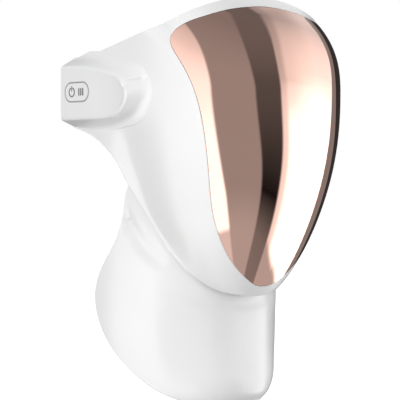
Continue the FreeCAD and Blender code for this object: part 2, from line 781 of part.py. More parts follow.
# ---- all parts ----------------------------------------------------------------------------
def build():
    parts = {
        "face_frame": face_frame(),
        "front_visor": front_visor(),
        "visor_gasket": visor_gasket(),
        "visor_carrier": visor_carrier(),
        "inner_shell": inner_shell(),
        "rim_seal": rim_seal(),
        "eye_shield": eye_shield(),
        "nose_pad": nose_pad(),
        "forehead_pad": forehead_pad(),
        "board_ribbons": board_ribbons(),
        "face_leds": face_leds(),
        "frame_screws": frame_screws(),
        "pod_screws": pod_screws(),
        "strap_bars": strap_bars(),
        "control_board": control_board(),
        "control_chip": control_chip(),
        "tact_switch": tact_switch(),
        "button_bezel": button_bezel(),
        "battery_cell": battery_cell(),
        "battery_pad": battery_pad(),
        "charge_board": charge_board(),
        "usb_c_port": usb_c_port(),
        "hinge_washers": hinge_washers(),
        "power_button": power_button(),
        "power_icon": power_icon(),
        "level_bars": level_bars(),
        "switch_plunger": switch_plunger(),
        "neck_outer_shell": neck_outer_shell(),
        "neck_inner_shell": neck_inner_shell(),
        "neck_edge_trim": neck_edge_trim(),
        "neck_led_board": neck_led_board(),
        "neck_leds": neck_leds(),
    }
    for name in BOARD_AREAS:
        parts[name] = led_board(name)
    for word, side in SIDES.items():
        parts[word + "_pod_cover"] = pod_cover(side)
        parts[word + "_arm_end_cap"] = arm_end_cap(side)
        parts[word + "_hinge_pin"] = hinge_pin(side)
    return parts


def main():
    os.makedirs("parts", exist_ok=True)
    for name, shape in build().items():
        size = shape.BoundBox
        print(name, "valid" if shape.isValid() else "NOT VALID", len(shape.Solids), "solids",
              round(shape.Volume), "mm3",
              [round(n, 1) for n in (size.XMin, size.YMin, size.ZMin, size.XMax, size.YMax, size.ZMax)])
        shape.exportStep("parts/" + name + ".step")


main()
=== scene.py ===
"""Looks of the LED face mask: smooth shells, a mirror visor, soft pads and studio light."""

import math

import bmesh
import bpy
import numpy as np
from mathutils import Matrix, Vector


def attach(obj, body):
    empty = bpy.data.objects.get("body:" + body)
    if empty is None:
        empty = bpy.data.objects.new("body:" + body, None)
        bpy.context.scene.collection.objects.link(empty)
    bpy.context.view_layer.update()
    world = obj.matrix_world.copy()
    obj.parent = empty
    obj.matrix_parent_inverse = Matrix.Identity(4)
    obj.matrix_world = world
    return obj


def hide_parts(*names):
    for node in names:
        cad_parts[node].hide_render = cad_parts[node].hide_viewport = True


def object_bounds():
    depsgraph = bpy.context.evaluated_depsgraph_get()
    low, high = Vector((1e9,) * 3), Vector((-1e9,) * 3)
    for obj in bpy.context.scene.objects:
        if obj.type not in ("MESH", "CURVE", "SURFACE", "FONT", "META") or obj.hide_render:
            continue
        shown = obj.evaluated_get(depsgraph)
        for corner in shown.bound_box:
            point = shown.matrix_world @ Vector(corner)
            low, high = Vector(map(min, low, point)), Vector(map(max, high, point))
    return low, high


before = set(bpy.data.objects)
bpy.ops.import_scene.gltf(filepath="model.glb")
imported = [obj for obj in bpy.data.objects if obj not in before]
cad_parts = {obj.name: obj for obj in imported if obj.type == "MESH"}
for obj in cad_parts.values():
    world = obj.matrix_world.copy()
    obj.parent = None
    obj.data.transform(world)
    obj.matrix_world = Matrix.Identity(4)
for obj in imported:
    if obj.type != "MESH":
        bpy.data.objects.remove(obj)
cad_low, cad_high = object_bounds()

MM = 0.001                  # shapes are worked out in millimetres and made in metres
SIDES = {"right": -1, "left": 1}

# ---- driving dimensions, the same as the CAD model's ----
WALL = 3.0
VISOR_WALL = 2.5
VISOR_GAP = 0.25
INNER_SHELL = (18.0, 20.0)
NECK_WALL = 2.2
NECK_LINING = (7.0, 9.0)
ARM_END_Y = 118.0
POD_FACE_X = 92.0
POD_BACK_X = 77.6
HINGE = (54.0, -40.0)       # Y and Z of the neck hinge's axis
BUTTON = (99.0, 12.75)      # Y and Z of the button's middle
EYE_X = 33.0
EYE_HALF = (21.0, 13.0)
NOSE_OPENING = ((0.0, -34.0), (13.0, 19.0))     # middle and half sizes in X and Z
MOUTH_OPENING = ((0.0, -76.0), (21.0, 7.0))
EAR_START = 49.5            # X where the neck piece's ears begin
EAR = (16.0, 7.0, 2.55)     # their length, radius and bore
PILL_RADIUS = 6.5           # rounding of the button's ends
PILL_REACH = 7.0            # distance of their centres from its middle
LINING_TOP_Z = -78.0

# Outlines in the front view (X, Z) and in the side view (Y, Z). They follow the CAD model's, but the
# visor's upper corners are fuller and the foot of the neck piece is longer.
VISOR_EDGE = [(0, 72.5), (22, 70.8), (42, 67.2), (60, 61.6), (70.4, 56.0), (75.0, 48), (74.0, 34),
              (69.5, 10), (64.5, -25), (57.5, -62), (46, -91.5), (30, -112.5), (14, -123.8),
              (0, -127.5)]
CROWN_RIM = [(0, 79), (22, 78.3), (36, 75.5), (50, 71.5), (62, 67), (71, 62), (77, 57.5)]
KINK = (38, 53)
ARM_TOP = [KINK, (55, 49.3), (72, 45.5), (89, 42), (ARM_END_Y, 39)]
FRAME_LOWER = [(ARM_END_Y, -12.5), (101, -17), (87, -23), (72, -35), (62, -52), (54, -68), (47, -84),
               (35, -108), (22, -123.5)]
CHIN = [(22, -131.9), (10, -133.6), (0, -134)]
INNER_REAR = [(44, 47), (44, 0), (44, -25), (40, -46), (33, -66), (24, -88), (12, -106)]
POD_BASE = [(ARM_END_Y, 38.5), (90, 38.5), (60, 33), (41, 25), (34, 12), (40, 0), (60, -9),
            (90, -12), (ARM_END_Y, -12)]
POD_FACE = [(ARM_END_Y, 32), (90, 30.3), (66, 26.5), (48, 20.5), (39, 9), (46, -1.5), (62, -6.8),
            (90, -7.2), (ARM_END_Y, -7.2)]
NECK_TOP_FRONT = [(0, -111.5), (15, -109.3), (25, -105.2)]
NECK_TOP_SIDE = [(27, -97), (37, -74), (44, -46), (49, -31), (65, -29)]
NECK_LOW_FRONT = [(0, -216), (18, -215.9), (32.5, -214.6)]
NECK_LOW_SIDE = [(36, -211.5), (46, -205.5), (62, -193.5), (80, -175.5), (93, -156), (98.5, -138), (94, -118),
                 (83, -100), (77, -84), (76, -62), (71, -37)]


# ---- the two body forms ----
class Form:
    """Horizontal sections with a rounded front that runs into straight sides.

    A place on it is (u, z): u is the way round from the middle plane, in millimetres at REACH."""

    REACH = 80.0

    def __init__(self, half_width, shoulder, front, power):
        self.half_width = half_width
        self.shoulder = shoulder
        self.front = front
        self.power = power

    def surface(self, u, z, inset=0.0):
        """Points of the surface sunk by the inset, as an array whose last axis is X, Y, Z."""
        angle = np.abs(u) / self.REACH
        turn = np.minimum(angle, math.pi / 2)
        wide = self.half_width(z) - inset
        deep = self.shoulder(z) - self.front(z) - inset
        across = np.sin(turn) / wide
        ahead = np.cos(turn) / deep
        radius = (across ** self.power + ahead ** self.power) ** (-1.0 / self.power)
        x = np.sign(u) * radius * np.sin(turn)
        y = self.shoulder(z) - radius * np.cos(turn) + (angle - turn) * self.half_width(z)
        return np.stack([x, y, z + 0.0 * x], axis=-1)

    def place(self, x, y, z):
        """(u, z) of a point of the surface or below it."""
        back = self.shoulder(z) - y
        if back <= 0.0:
            return (math.copysign(self.REACH * (math.pi / 2 - back / self.half_width(z)), x), z)
        return (self.REACH * math.atan2(x, back), z)

    def at_x(self, x, z, inset=0.0):
        """(u, z) of the surface point seen at X, Z from the front."""
        share = min(1.0, abs(x) / (self.half_width(z) - inset))
        deep = self.shoulder(z) - self.front(z) - inset
        ahead = deep * (1.0 - share ** self.power) ** (1.0 / self.power)
        return self.place(x, self.shoulder(z) - ahead, z)

    def at_y(self, y, z, inset=0.0):
        """(u, z) of the surface point seen at Y, Z from the side."""
        share = min(1.0, max(0.0, self.shoulder(z) - y) / (self.shoulder(z) - self.front(z) - inset))
        x = (self.half_width(z) - inset) * (1.0 - share ** self.power) ** (1.0 / self.power)
        return self.place(x, y, z)

    def from_front(self, points):
        return [self.at_x(x, z) for x, z in points]

    def from_side(self, points):
        return [self.at_y(y, z) for y, z in points]

    def sunk(self, point, inset, apex):
        """(u, z) where the line from a surface point to the apex meets the inset surface."""
        low, high = 0.0, 0.5
        for _ in range(30):
            share = (low + high) / 2
            x, y, z = np.asarray(point) + (np.asarray(apex) - point) * share
            across = abs(x) / (self.half_width(z) - inset)
            ahead = max(0.0, self.shoulder(z) - y) / (self.shoulder(z) - self.front(z) - inset)
            if across ** self.power + ahead ** self.power > 1.0:
                low = share
            else:
                high = share
        return self.place(x, y, z)


def face_half_width(z):
    drop = np.clip((10.0 - z) / 150.0, 0.0, 0.999)
    return 80.0 * np.sqrt(1.0 - drop ** 2.4)


def face_shoulder(z):
    return 50.0 - 30.0 * np.clip((-60.0 - z) / 75.0, 0.0, 9.0) ** 2


def face_front(z):
    low = -45.5 + 46.5 * np.clip((11.0 - z) / 142.0, 0.0, 9.0) ** 2.1
    rise = np.clip((z - 11.0) / 60.0, 0.0, 9.0)
    high = -45.5 + 40.0 * rise ** 2.6 - 160.0 * np.clip(rise - 0.9, 0.0, 9.0) ** 2
    return np.where(z < 11.0, low, high)


def neck_half_width(z):
    up = 76.0 - 12.0 * (np.clip(z + 150.0, 0.0, 999.0) / 100.0) ** 2
    down = 76.0 - 10.0 * (np.clip(z + 150.0, -999.0, 0.0) / 60.0) ** 2
    return np.minimum(up, down)


def neck_curl(z):
    """How far the foot of the neck piece curls in towards the wearer."""
    radius = 26.0
    below = np.clip(-192.0 - z, 0.0, 23.0)
    return radius - np.sqrt(radius ** 2 - below ** 2)


def neck_front(z):
    return 16.5 - 5.0 * (np.clip(-150.0 - z, 0.0, 999.0) / 50.0) ** 2 + neck_curl(z)


def always(value):
    return lambda z: value + 0.0 * z


FACE = Form(face_half_width, face_shoulder, face_front, 2.3)
NECK = Form(neck_half_width, always(95.0), neck_front, 2.0)


# ---- curves and grids ----
def smoothstep(low, high, value):
    share = np.clip((value - low) / (high - low), 0.0, 1.0)
    return share * share * (3.0 - 2.0 * share)


def hump(value, width):
    return np.exp(-(value / width) ** 2)


def bands(place, points):
    """Value between (place, value) points."""
    return np.interp(place, *np.array(points).T)


def squarish(angle, power):
    """Cosine and sine of an angle, pushed towards a square corner."""
    return [np.sign(part) * np.abs(part) ** power for part in (np.cos(angle), np.sin(angle))]


def mirrored(points):
    return points * np.array([-1.0] + [1.0] * (points.shape[1] - 1))


def smooth(points, count, at_start=False, at_end=False):
    """Natural cubic through the points, sampled evenly; it may run on as its mirror image at an end."""
    points = np.array(points, float)
    lead = 3 if at_start else 0
    tail = 3 if at_end else 0
    if lead:
        points = np.vstack([mirrored(points[1:1 + lead])[::-1], points])
    if tail:
        points = np.vstack([points, mirrored(points[-1 - tail:-1])[::-1]])
    steps = np.linalg.norm(np.diff(points, axis=0), axis=1)
    place = np.concatenate([[0.0], np.cumsum(steps)])
    n = len(points)
    matrix = np.eye(n)
    right = np.zeros_like(points)
    for i in range(1, n - 1):
        before, after = steps[i - 1], steps[i]
        matrix[i, i - 1:i + 2] = before / 6, (before + after) / 3, after / 6
        right[i] = (points[i + 1] - points[i]) / after - (points[i] - points[i - 1]) / before
    bend = np.linalg.solve(matrix, right)
    t = np.linspace(place[lead], place[n - 1 - tail], count * 12)
    i = np.clip(np.searchsorted(place, t) - 1, 0, n - 2)
    h = steps[i]
    a = ((place[i + 1] - t) / h)[:, None]
    b = ((t - place[i]) / h)[:, None]
    curve = a * points[i] + b * points[i + 1]
    curve = curve + ((a ** 3 - a) * bend[i] + (b ** 3 - b) * bend[i + 1]) * (h ** 2 / 6)[:, None]
    return evenly(curve, count)


def at_shares(curve, shares):
    """Points of a closely sampled curve at shares of its length."""
    lengths = np.linalg.norm(np.diff(curve, axis=0), axis=1)
    along = np.concatenate([[0.0], np.cumsum(lengths)])
    wanted = np.asarray(shares) * along[-1]
    return np.stack([np.interp(wanted, along, curve[:, k]) for k in range(curve.shape[1])], axis=1)


def evenly(curve, count):
    """The polyline sampled at equal steps along its length."""
    return at_shares(curve, np.linspace(0.0, 1.0, count))


def unit(vectors):
    return vectors / np.maximum(np.linalg.norm(vectors, axis=-1, keepdims=True), 1e-9)


def right_of(curve):
    """Unit normals to the right of an open outline, as seen on the way along it."""
    along = unit(np.gradient(curve, axis=0))
    return np.stack([along[:, 1], -along[:, 0]], axis=1)


def both_sides(half):
    """Closed loop from a half that runs from the middle plane round to the middle plane."""
    return np.vstack([half, mirrored(half)[-2:0:-1]])


def normals(grid, closed=False):
    """Unit normals of a grid of points that point away from the head."""
    if closed:
        wrapped = np.concatenate([grid[:, -1:], grid, grid[:, :1]], axis=1)
        along = (wrapped[:, 2:] - wrapped[:, :-2]) / 2
    else:
        along = np.gradient(grid, axis=1)
    across = np.gradient(grid, axis=0)
    normal = unit(np.cross(along, across))
    outward = grid - np.array([0.0, 60.0, 0.0])
    outward[..., 2] = 0.0
    return normal * np.sign(np.sum(normal * outward, axis=2, keepdims=True))


# ---- making meshes ----
SHARP_EDGE = 38.0           # edges with a larger angle stay sharp


def new_object(name, data):
    thing = bpy.data.objects.new(name, data)
    bpy.context.scene.collection.objects.link(thing)
    return thing


def finish_mesh(name, bm, angle=SHARP_EDGE):
    """Object from a bmesh in millimetres, smooth except at edges sharper than the angle."""
    bmesh.ops.remove_doubles(bm, verts=bm.verts, dist=1e-4)
    bmesh.ops.recalc_face_normals(bm, faces=bm.faces)
    bmesh.ops.scale(bm, vec=(MM, MM, MM), verts=bm.verts)
    mesh = bpy.data.meshes.new(name)
    bm.to_mesh(mesh)
    bm.free()
    mesh.shade_smooth()
    mesh.set_sharp_from_angle(angle=math.radians(angle))
    return new_object(name, mesh)


def add_grid(bm, grid, closed_rows=False, closed_columns=False):
    """Adds quads for a grid of points to a bmesh."""
    rows = [[bm.verts.new(point) for point in row] for row in grid]
    last_row = len(rows) if closed_rows else len(rows) - 1
    last_column = len(rows[0]) if closed_columns else len(rows[0]) - 1
    for i in range(last_row):
        below = rows[(i + 1) % len(rows)]
        for j in range(last_column):
            k = (j + 1) % len(rows[0])
            bm.faces.new([rows[i][j], rows[i][k], below[k], below[j]])


def grid_piece(name, *grids, closed_rows=False, closed_columns=False, angle=SHARP_EDGE):
    bm = bmesh.new()
    for grid in grids:
        add_grid(bm, grid, closed_rows, closed_columns)
    return finish_mesh(name, bm, angle)


def fill_open_ends(bm):
    edges = [e for e in bm.edges if e.is_boundary]
    bmesh.ops.holes_fill(bm, edges=edges, sides=0)


def capped_piece(name, grid, angle=SHARP_EDGE, across=False):
    """Solid from a row of closed rings, or from a ring of profiles if across, with filled ends."""
    bm = bmesh.new()
    add_grid(bm, grid, closed_rows=across, closed_columns=not across)
    fill_open_ends(bm)
    return finish_mesh(name, bm, angle)


def turned_along_x(name, profile, start, side, segments=64):
    """Closed turned piece from (distance along X, radius) points, in millimetres."""
    along, radius = np.array(profile).T
    rows = []
    for angle in 2 * math.pi * np.arange(segments) / segments:
        y, z = start[1] + radius * math.cos(angle), start[2] + radius * math.sin(angle)
        rows.append(np.stack([start[0] + side * along, y, z], axis=1))
    return capped_piece(name, rows, 30.0, across=True)


def tube_profile(length, radius, bore, bevel):
    """Profile of a ring or tube with rounded rims."""
    turn = bevel * 0.3
    return [(0.0, radius - bevel), (turn, radius - turn), (bevel, radius), (length - bevel, radius),
            (length - turn, radius - turn), (length, radius - bevel), (length, bore + bevel),
            (length - bevel, bore), (bevel, bore), (0.0, bore + bevel)]


def tube_along(name, loop, radius, segments=12):
    """Closed tube round a closed line of points."""
    ahead = unit(np.roll(loop, -1, axis=0) - np.roll(loop, 1, axis=0))
    side = unit(np.cross(ahead, np.array([0.0, 1.0, 0.0])))
    up = np.cross(side, ahead)
    rows = []
    for i in range(segments):
        angle = 2 * math.pi * i / segments
        rows.append(loop + radius * (math.cos(angle) * side + math.sin(angle) * up))
    return grid_piece(name, np.array(rows), closed_rows=True, closed_columns=True)


def cutter_along_y(ring, y0, y1):
    """Cutter from a closed outline in the X Z plane."""
    return capped_piece("cutter", [[(x, y, z) for x, z in ring] for y in (y0, y1)])


def oval_points(middle, half, count, roundness=2.0):
    """Closed superellipse in the X Z plane."""
    cosine, sine = squarish(np.linspace(0.0, 2 * math.pi, count, endpoint=False), 2 / roundness)
    return np.stack([middle[0] + half[0] * cosine, middle[1] + half[1] * sine], axis=1)


def pill_ring(grow, count=28):
    """Closed outline of the button in Y, Z, grown by a margin."""
    radius = PILL_RADIUS + grow
    points = []
    for end, start in ((PILL_REACH, -90.0), (-PILL_REACH, 90.0)):
        for i in range(count):
            angle = math.radians(start + 180.0 * i / (count - 1))
            points.append((BUTTON[0] + end + radius * math.cos(angle), BUTTON[1] + radius * math.sin(angle)))
    return points


def pill_piece(name, sections):
    """Closed pill-shaped solid from (X, margin) sections."""
    return capped_piece(name, [[(x, y, z) for y, z in pill_ring(grow)] for x, grow in sections], 30.0)


def cut(piece, cutters):
    """Takes the cutters out of the piece and removes them."""
    for cutter in cutters:
        modifier = piece.modifiers.new("cut", "BOOLEAN")
        modifier.operation = "DIFFERENCE"
        modifier.solver = "MANIFOLD"
        modifier.object = cutter
    bpy.context.view_layer.update()
    graph = bpy.context.evaluated_depsgraph_get()
    mesh = bpy.data.meshes.new_from_object(piece.evaluated_get(graph))
    piece.modifiers.clear()
    piece.data = mesh
    mesh.shade_smooth()
    mesh.set_sharp_from_angle(angle=math.radians(SHARP_EDGE))
    for cutter in cutters:
        bpy.data.objects.remove(cutter)
    return piece


# ---- materials ----
def set_inputs(node, values):
    for name, value in values.items():
        node.inputs[name].default_value = value


def shader_of(material):
    return material.node_tree.nodes["Principled BSDF"]


def join(material, output, target):
    material.node_tree.links.new(output, target)


def tint(colour, share):
    return [min(1.0, c * share) for c in colour]


def principled(name, colour, roughness, metallic=0.0, coat=0.0, transmission=0.0, subsurface=0.0):
    """New material with the values that are the same all over it."""
    material = bpy.data.materials.new(name)
    material.use_nodes = True
    set_inputs(shader_of(material), {
        "Base Color": (*colour, 1.0), "Roughness": roughness, "Metallic": metallic,
        "Coat Weight": coat, "Coat Roughness": 0.12, "Transmission Weight": transmission,
        "Subsurface Weight": subsurface, "Subsurface Scale": 0.004})
    return material


def texture(material, kind, values, stretch=None):
    """Texture node that is fixed to the object and may be stretched along its axes."""
    nodes = material.node_tree.nodes
    place = nodes.new("ShaderNodeTexCoord").outputs["Object"]
    if stretch:
        mapping = nodes.new("ShaderNodeMapping")
        set_inputs(mapping, {"Scale": stretch})
        join(material, place, mapping.inputs["Vector"])
        place = mapping.outputs["Vector"]
    node = nodes.new("ShaderNodeTex" + kind)
    set_inputs(node, values)
    join(material, place, node.inputs["Vector"])
    return node


def noise(material, scale, detail=4.0):
    return texture(material, "Noise", {"Scale": scale, "Detail": detail}).outputs["Fac"]


def vary_colour(material, factor, dark, light):
    """Lets the base colour run between two colours with a factor."""
    ramp = material.node_tree.nodes.new("ShaderNodeValToRGB")
    for stop, position, colour in zip(ramp.color_ramp.elements, (0.3, 0.7), (dark, light)):
        stop.position = position
        stop.color = (*colour, 1.0)
    join(material, factor, ramp.inputs["Fac"])
    join(material, ramp.outputs["Color"], shader_of(material).inputs["Base Color"])


def vary_roughness(material, factor, low, high):
    reach = material.node_tree.nodes.new("ShaderNodeMapRange")
    set_inputs(reach, {"To Min": low, "To Max": high})
    join(material, factor, reach.inputs["Value"])
    join(material, reach.outputs["Result"], shader_of(material).inputs["Roughness"])


def bump(material, factor, strength, depth):
    """Fine relief; the depth is in metres."""
    node = material.node_tree.nodes.new("ShaderNodeBump")
    set_inputs(node, {"Strength": strength, "Distance": depth})
    join(material, factor, node.inputs["Height"])
    join(material, node.outputs["Normal"], shader_of(material).inputs["Normal"])


def white_plastic():
    """Satin white moulded plastic with a fine spark-eroded grain."""
    material = principled("white_plastic", (0.83, 0.83, 0.825), 0.34, coat=0.5)
    set_inputs(shader_of(material), {"Coat Roughness": 0.2})
    vary_colour(material, noise(material, 18.0), (0.822, 0.824, 0.826), (0.842, 0.842, 0.838))
    vary_roughness(material, noise(material, 55.0), 0.30, 0.40)
    bump(material, noise(material, 2600.0, 2.0), 0.03, 0.00002)
    return material


def rose_mirror():
    """Vacuum-coated rose gold with the faintest orange peel."""
    material = principled("rose_mirror", (0.77, 0.50, 0.42), 0.03, metallic=1.0)
    vary_colour(material, noise(material, 9.0, 2.0), (0.762, 0.492, 0.413), (0.778, 0.508, 0.427))
    vary_roughness(material, noise(material, 30.0), 0.02, 0.045)
    return material


def milky_plastic():
    """Translucent diffuser that lets the LEDs behind it show as soft dots."""
    material = principled("milky_plastic", (0.94, 0.93, 0.91), 0.22, transmission=0.85)
    vary_colour(material, noise(material, 14.0), (0.93, 0.92, 0.90), (0.95, 0.945, 0.93))
    vary_roughness(material, noise(material, 90.0), 0.18, 0.26)
    bump(material, noise(material, 1400.0, 2.0), 0.1, 0.00004)
    return material


def silicone(name, colour):
    """Soft matt rubber with a powdery bloom."""
    material = principled(name, colour, 0.6, subsurface=0.12)
    set_inputs(shader_of(material), {"Sheen Weight": 0.25, "Sheen Roughness": 0.5})
    vary_colour(material, noise(material, 35.0), tint(colour, 0.96), tint(colour, 1.03))
    vary_roughness(material, noise(material, 160.0), 0.52, 0.7)
    bump(material, noise(material, 900.0, 6.0), 0.25, 0.00008)
    return material


def knit(name, colour):
    """Fine knitted cover of the foam pad."""
    material = principled(name, colour, 0.8)
    set_inputs(shader_of(material), {"Sheen Weight": 0.4})
    loops = texture(material, "Wave", {"Scale": 420.0, "Distortion": 3.0, "Detail": 2.0}).outputs["Fac"]
    vary_colour(material, loops, tint(colour, 0.88), tint(colour, 1.04))
    vary_roughness(material, noise(material, 70.0), 0.72, 0.9)
    bump(material, loops, 0.4, 0.00015)
    return material


def moulded(name, colour, roughness):
    """Plain technical plastic with mottling and grain."""
    material = principled(name, colour, roughness)
    vary_colour(material, noise(material, 60.0), tint(colour, 0.85), tint(colour, 1.12))
    vary_roughness(material, noise(material, 240.0), roughness - 0.06, roughness + 0.08)
    bump(material, noise(material, 1800.0, 3.0), 0.15, 0.00004)
    return material


def metal(name, colour, roughness):
    """Turned or drawn metal with fine streaks along one way."""
    material = principled(name, colour, roughness, metallic=1.0)
    values = {"Scale": 1.0, "Detail": 3.0}
    streaks = texture(material, "Noise", values, (40.0, 900.0, 900.0)).outputs["Fac"]
    vary_colour(material, streaks, tint(colour, 0.88), tint(colour, 1.06))
    vary_roughness(material, streaks, roughness * 0.7, roughness * 1.4)
    return material


def circuit(name, mask, trace):
    """Circuit board: solder mask with a faint pattern of tracks under it."""
    material = principled(name, mask, 0.35, coat=0.3)
    tracks = texture(material, "Brick", {
        "Scale": 260.0, "Color1": (*mask, 1.0), "Color2": (*tint(mask, 0.93), 1.0),
        "Mortar": (*trace, 1.0), "Mortar Size": 0.03})
    join(material, tracks.outputs["Color"], shader_of(material).inputs["Base Color"])
    vary_roughness(material, noise(material, 300.0), 0.28, 0.42)
    return material


WHITE = white_plastic()
MIRROR = rose_mirror()
MILKY = milky_plastic()
PALE_SILICONE = silicone("pale_silicone", (0.78, 0.76, 0.74))
PAD_SILICONE = silicone("pad_silicone", (0.70, 0.66, 0.64))
PAD_FOAM = knit("pad_knit", (0.74, 0.71, 0.69))
BLACK = moulded("black_plastic", (0.02, 0.02, 0.022), 0.5)
PRINT = moulded("grey_print", (0.13, 0.13, 0.135), 0.55)
BEZEL = moulded("bezel_grey", (0.42, 0.42, 0.425), 0.5)
NYLON = moulded("natural_nylon", (0.78, 0.77, 0.72), 0.45)
LED_BODY = moulded("led_body", (0.9, 0.78, 0.5), 0.25)
RIBBON = moulded("amber_film", (0.55, 0.26, 0.06), 0.3)
STEEL = metal("zinc_steel", (0.62, 0.62, 0.63), 0.3)
FOIL = metal("battery_foil", (0.75, 0.76, 0.78), 0.38)
WHITE_BOARD = circuit("white_board", (0.8, 0.82, 0.8), (0.62, 0.66, 0.6))
GREEN_BOARD = circuit("green_board", (0.02, 0.16, 0.07), (0.05, 0.3, 0.14))


def coat_with(piece, material):
    piece.data.materials.clear()
    piece.data.materials.append(material)


def dress(piece, material, slot, body, *nodes):
    """Gives a new piece its material and body, and hides the CAD nodes that it stands for; the slot is not
    used.
    """
    coat_with(piece, material)
    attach(piece, body)
    if nodes:
        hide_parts(*nodes)


def paint(names, material):
    """Gives CAD nodes that stay a better material."""
    for name in names:
        coat_with(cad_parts[name], material)


# ---- frame ----
def frame_runs():
    """Runs of the frame's half outline, each with the shares of the visor's outline that it faces."""
    crown = FACE.from_front(CROWN_RIM) + [FACE.at_y(*KINK)]
    arm_top = FACE.from_side(ARM_TOP)
    lower = FACE.from_side(FRAME_LOWER) + FACE.from_front(CHIN)
    end = [arm_top[-1], lower[0]]
    return [
        (smooth(crown, 84, at_start=True), (0.0, 0.27)),
        (smooth(arm_top, 64), (0.27, 0.36)),
        (evenly(np.array(end), 44), (0.36, 0.46)),
        (smooth(lower, 190, at_end=True), (0.46, 1.0)),
    ]


def visor_outline(grow):
    """Closely sampled half outline of the visor in (u, z), grown by a margin."""
    half = smooth(FACE.from_front(VISOR_EDGE), 900, at_start=True, at_end=True)
    return half - right_of(half) * grow


# Valley down each side, as heights and the way round in millimetres.
VALLEY = [(-132, 90), (-106, 98), (-75, 104), (-53, 108), (-32, 115), (-9, 118), (15, 120), (45, 122),
          (60, 122)]
VALLEY_SHIFT = 19.0
VALLEY_DEPTH = 3.4
VALLEY_WIDTHS = (28.0, 11.0)    # towards the visor and towards the rear edge
FLARE = 2.0
CREASE_START = (36.3, 52.6)     # side view ends of the crease between the crown and the side
CREASE_END = (12.0, 38.0)
CREASE_SLOPE = 0.3
CREASE_SOFTNESS = 0.35
CREASE_DEPTH = 3.0              # the crease goes no deeper
# How round the frame's rim is, at shares of the way from the crown to the chin.
RIM_ROLL = [(0.0, 0.35), (0.26, 0.35), (0.3, 0.5), (0.355, 0.5), (0.365, 0.1), (0.455, 0.1), (0.47, 0.6),
            (0.6, 0.9), (1.0, 0.6)]


def frame_relief(points, u, z):
    """Outward distance that the frame's surface stands off its plain form."""
    beyond = np.abs(u) - bands(z, VALLEY) - VALLEY_SHIFT
    side = smoothstep(-12.0, -34.0, z)
    flare = FLARE * (1.0 - np.exp(-(np.clip(beyond, 0.0, None) / 18.0) ** 2)) * side
    valley = np.where(beyond < 0.0, hump(beyond, VALLEY_WIDTHS[0]), hump(beyond, VALLEY_WIDTHS[1]))
    valley = valley * VALLEY_DEPTH * smoothstep(4.0, -30.0, z) * smoothstep(-130.0, -92.0, z)
    run = unit(np.array(CREASE_START) - np.array(CREASE_END))
    above = (points[..., 2] - CREASE_END[1]) * run[0] - (points[..., 1] - CREASE_END[0]) * run[1]
    crease = CREASE_SLOPE * np.logaddexp(0.0, above / CREASE_SOFTNESS) * CREASE_SOFTNESS
    crown = np.minimum(crease, CREASE_DEPTH) * smoothstep(84.0, 104.0, np.abs(u))
    return flare - valley - crown


def frame_shell():
    """The white ring of the frame with its arms, a closed wall of even thickness."""
    runs = frame_runs()
    outer_half = np.vstack([runs[0][0]] + [run[1:] for run, _ in runs[1:]])
    shares = np.concatenate([np.linspace(*runs[0][1], len(runs[0][0]))]
                            + [np.linspace(*span, len(run))[1:] for run, span in runs[1:]])
    roll = bands(shares, RIM_ROLL)
    outer = both_sides(outer_half)
    inner = both_sides(at_shares(visor_outline(VISOR_GAP), shares))
    roll = np.concatenate([roll, roll[-2:0:-1]])
    spread = np.linspace(0.0, 1.0, 66) ** 1.15
    place = inner[None] + (outer - inner)[None] * spread[:, None, None]
    u, z = place[..., 0], place[..., 1]
    plain = FACE.surface(u, z)
    away = normals(plain, closed=True)
    lift = frame_relief(plain, u, z)[..., None] * away
    outside = plain + lift
    inside = FACE.surface(u, z, WALL) + lift
    rows = [outside]
    rows.append(rim_rows(outside[-1], inside[-1], outside[-1] - outside[-3], roll, 10, 0.6))
    rows.append(inside[::-3])
    edge = np.full(len(roll), 0.16)
    rows.append(rim_rows(inside[0], outside[0], outside[0] - outside[2], edge, 6, 0.4))
    return grid_piece("face_frame_shell", np.vstack(rows), closed_rows=True, closed_columns=True)


def rim_rows(first, last, outward, roll, count, power):
    """Rows that round an edge from one surface to the other, bulging outward by a share of the wall."""
    middle = (first + last) / 2
    half = (first - last) / 2
    length = np.linalg.norm(half, axis=1, keepdims=True)
    outward = unit(outward)
    rows = []
    for i in range(1, count):
        cosine, sine = squarish(math.pi * i / count, power)
        rows.append(middle + half * cosine + outward * length * sine * roll[:, None])
    return np.array(rows)


# ---- pods ----
POD_SCOOP = 3.4             # the pod's face rises by this towards its front end
POD_SCOOP_Y = (80.0, 39.0)
POD_EDGE_DROP = 0.12
NOTCH = [(47.0, 18.6), (33.5, 22.4)]    # groove across the slope of the pod's front end, in Y and Z
NOTCH_DEPTH = 1.7
POD_COLUMNS = 420
POD_BEVEL = 2.4             # the rounded edge of the face reaches this far in
POD_SINK = 0.25             # the foot of the pod is sunk into the frame
DISH_DEPTH = 0.5            # hollow of the face
POD_POCKET = [((74.0, 89.5), (58.0, 116.0), (-2.0, 22.0)), ((74.0, 79.05), (56.0, 120.0), (-4.0, 24.0)),
              ((76.9, 89.5), (116.0, 120.0), (-4.0, 24.0))]     # boxes, as spans of X, Y and Z
BUTTON_SEAT = [(-100.0, 1.05), (-88.0, 1.05)]                   # X and margin round the button


def pod_height(y):
    share = np.clip((POD_SCOOP_Y[0] - y) / (POD_SCOOP_Y[0] - POD_SCOOP_Y[1]), 0.0, 1.1)
    return POD_FACE_X + POD_SCOOP * share ** 3.4


def on_frame(outline):
    """X of the frame's side along an outline of the side view."""
    return FACE.surface(*np.array(FACE.from_side(outline)).T)[:, 0]


def bezier(a, b, c, count):
    """Rows of a quadratic curve from a to c that leans to b, without its last row."""
    shares = np.arange(count) / count
    return [a * (1 - t) ** 2 + b * 2 * t * (1 - t) + c * t ** 2 for t in shares]


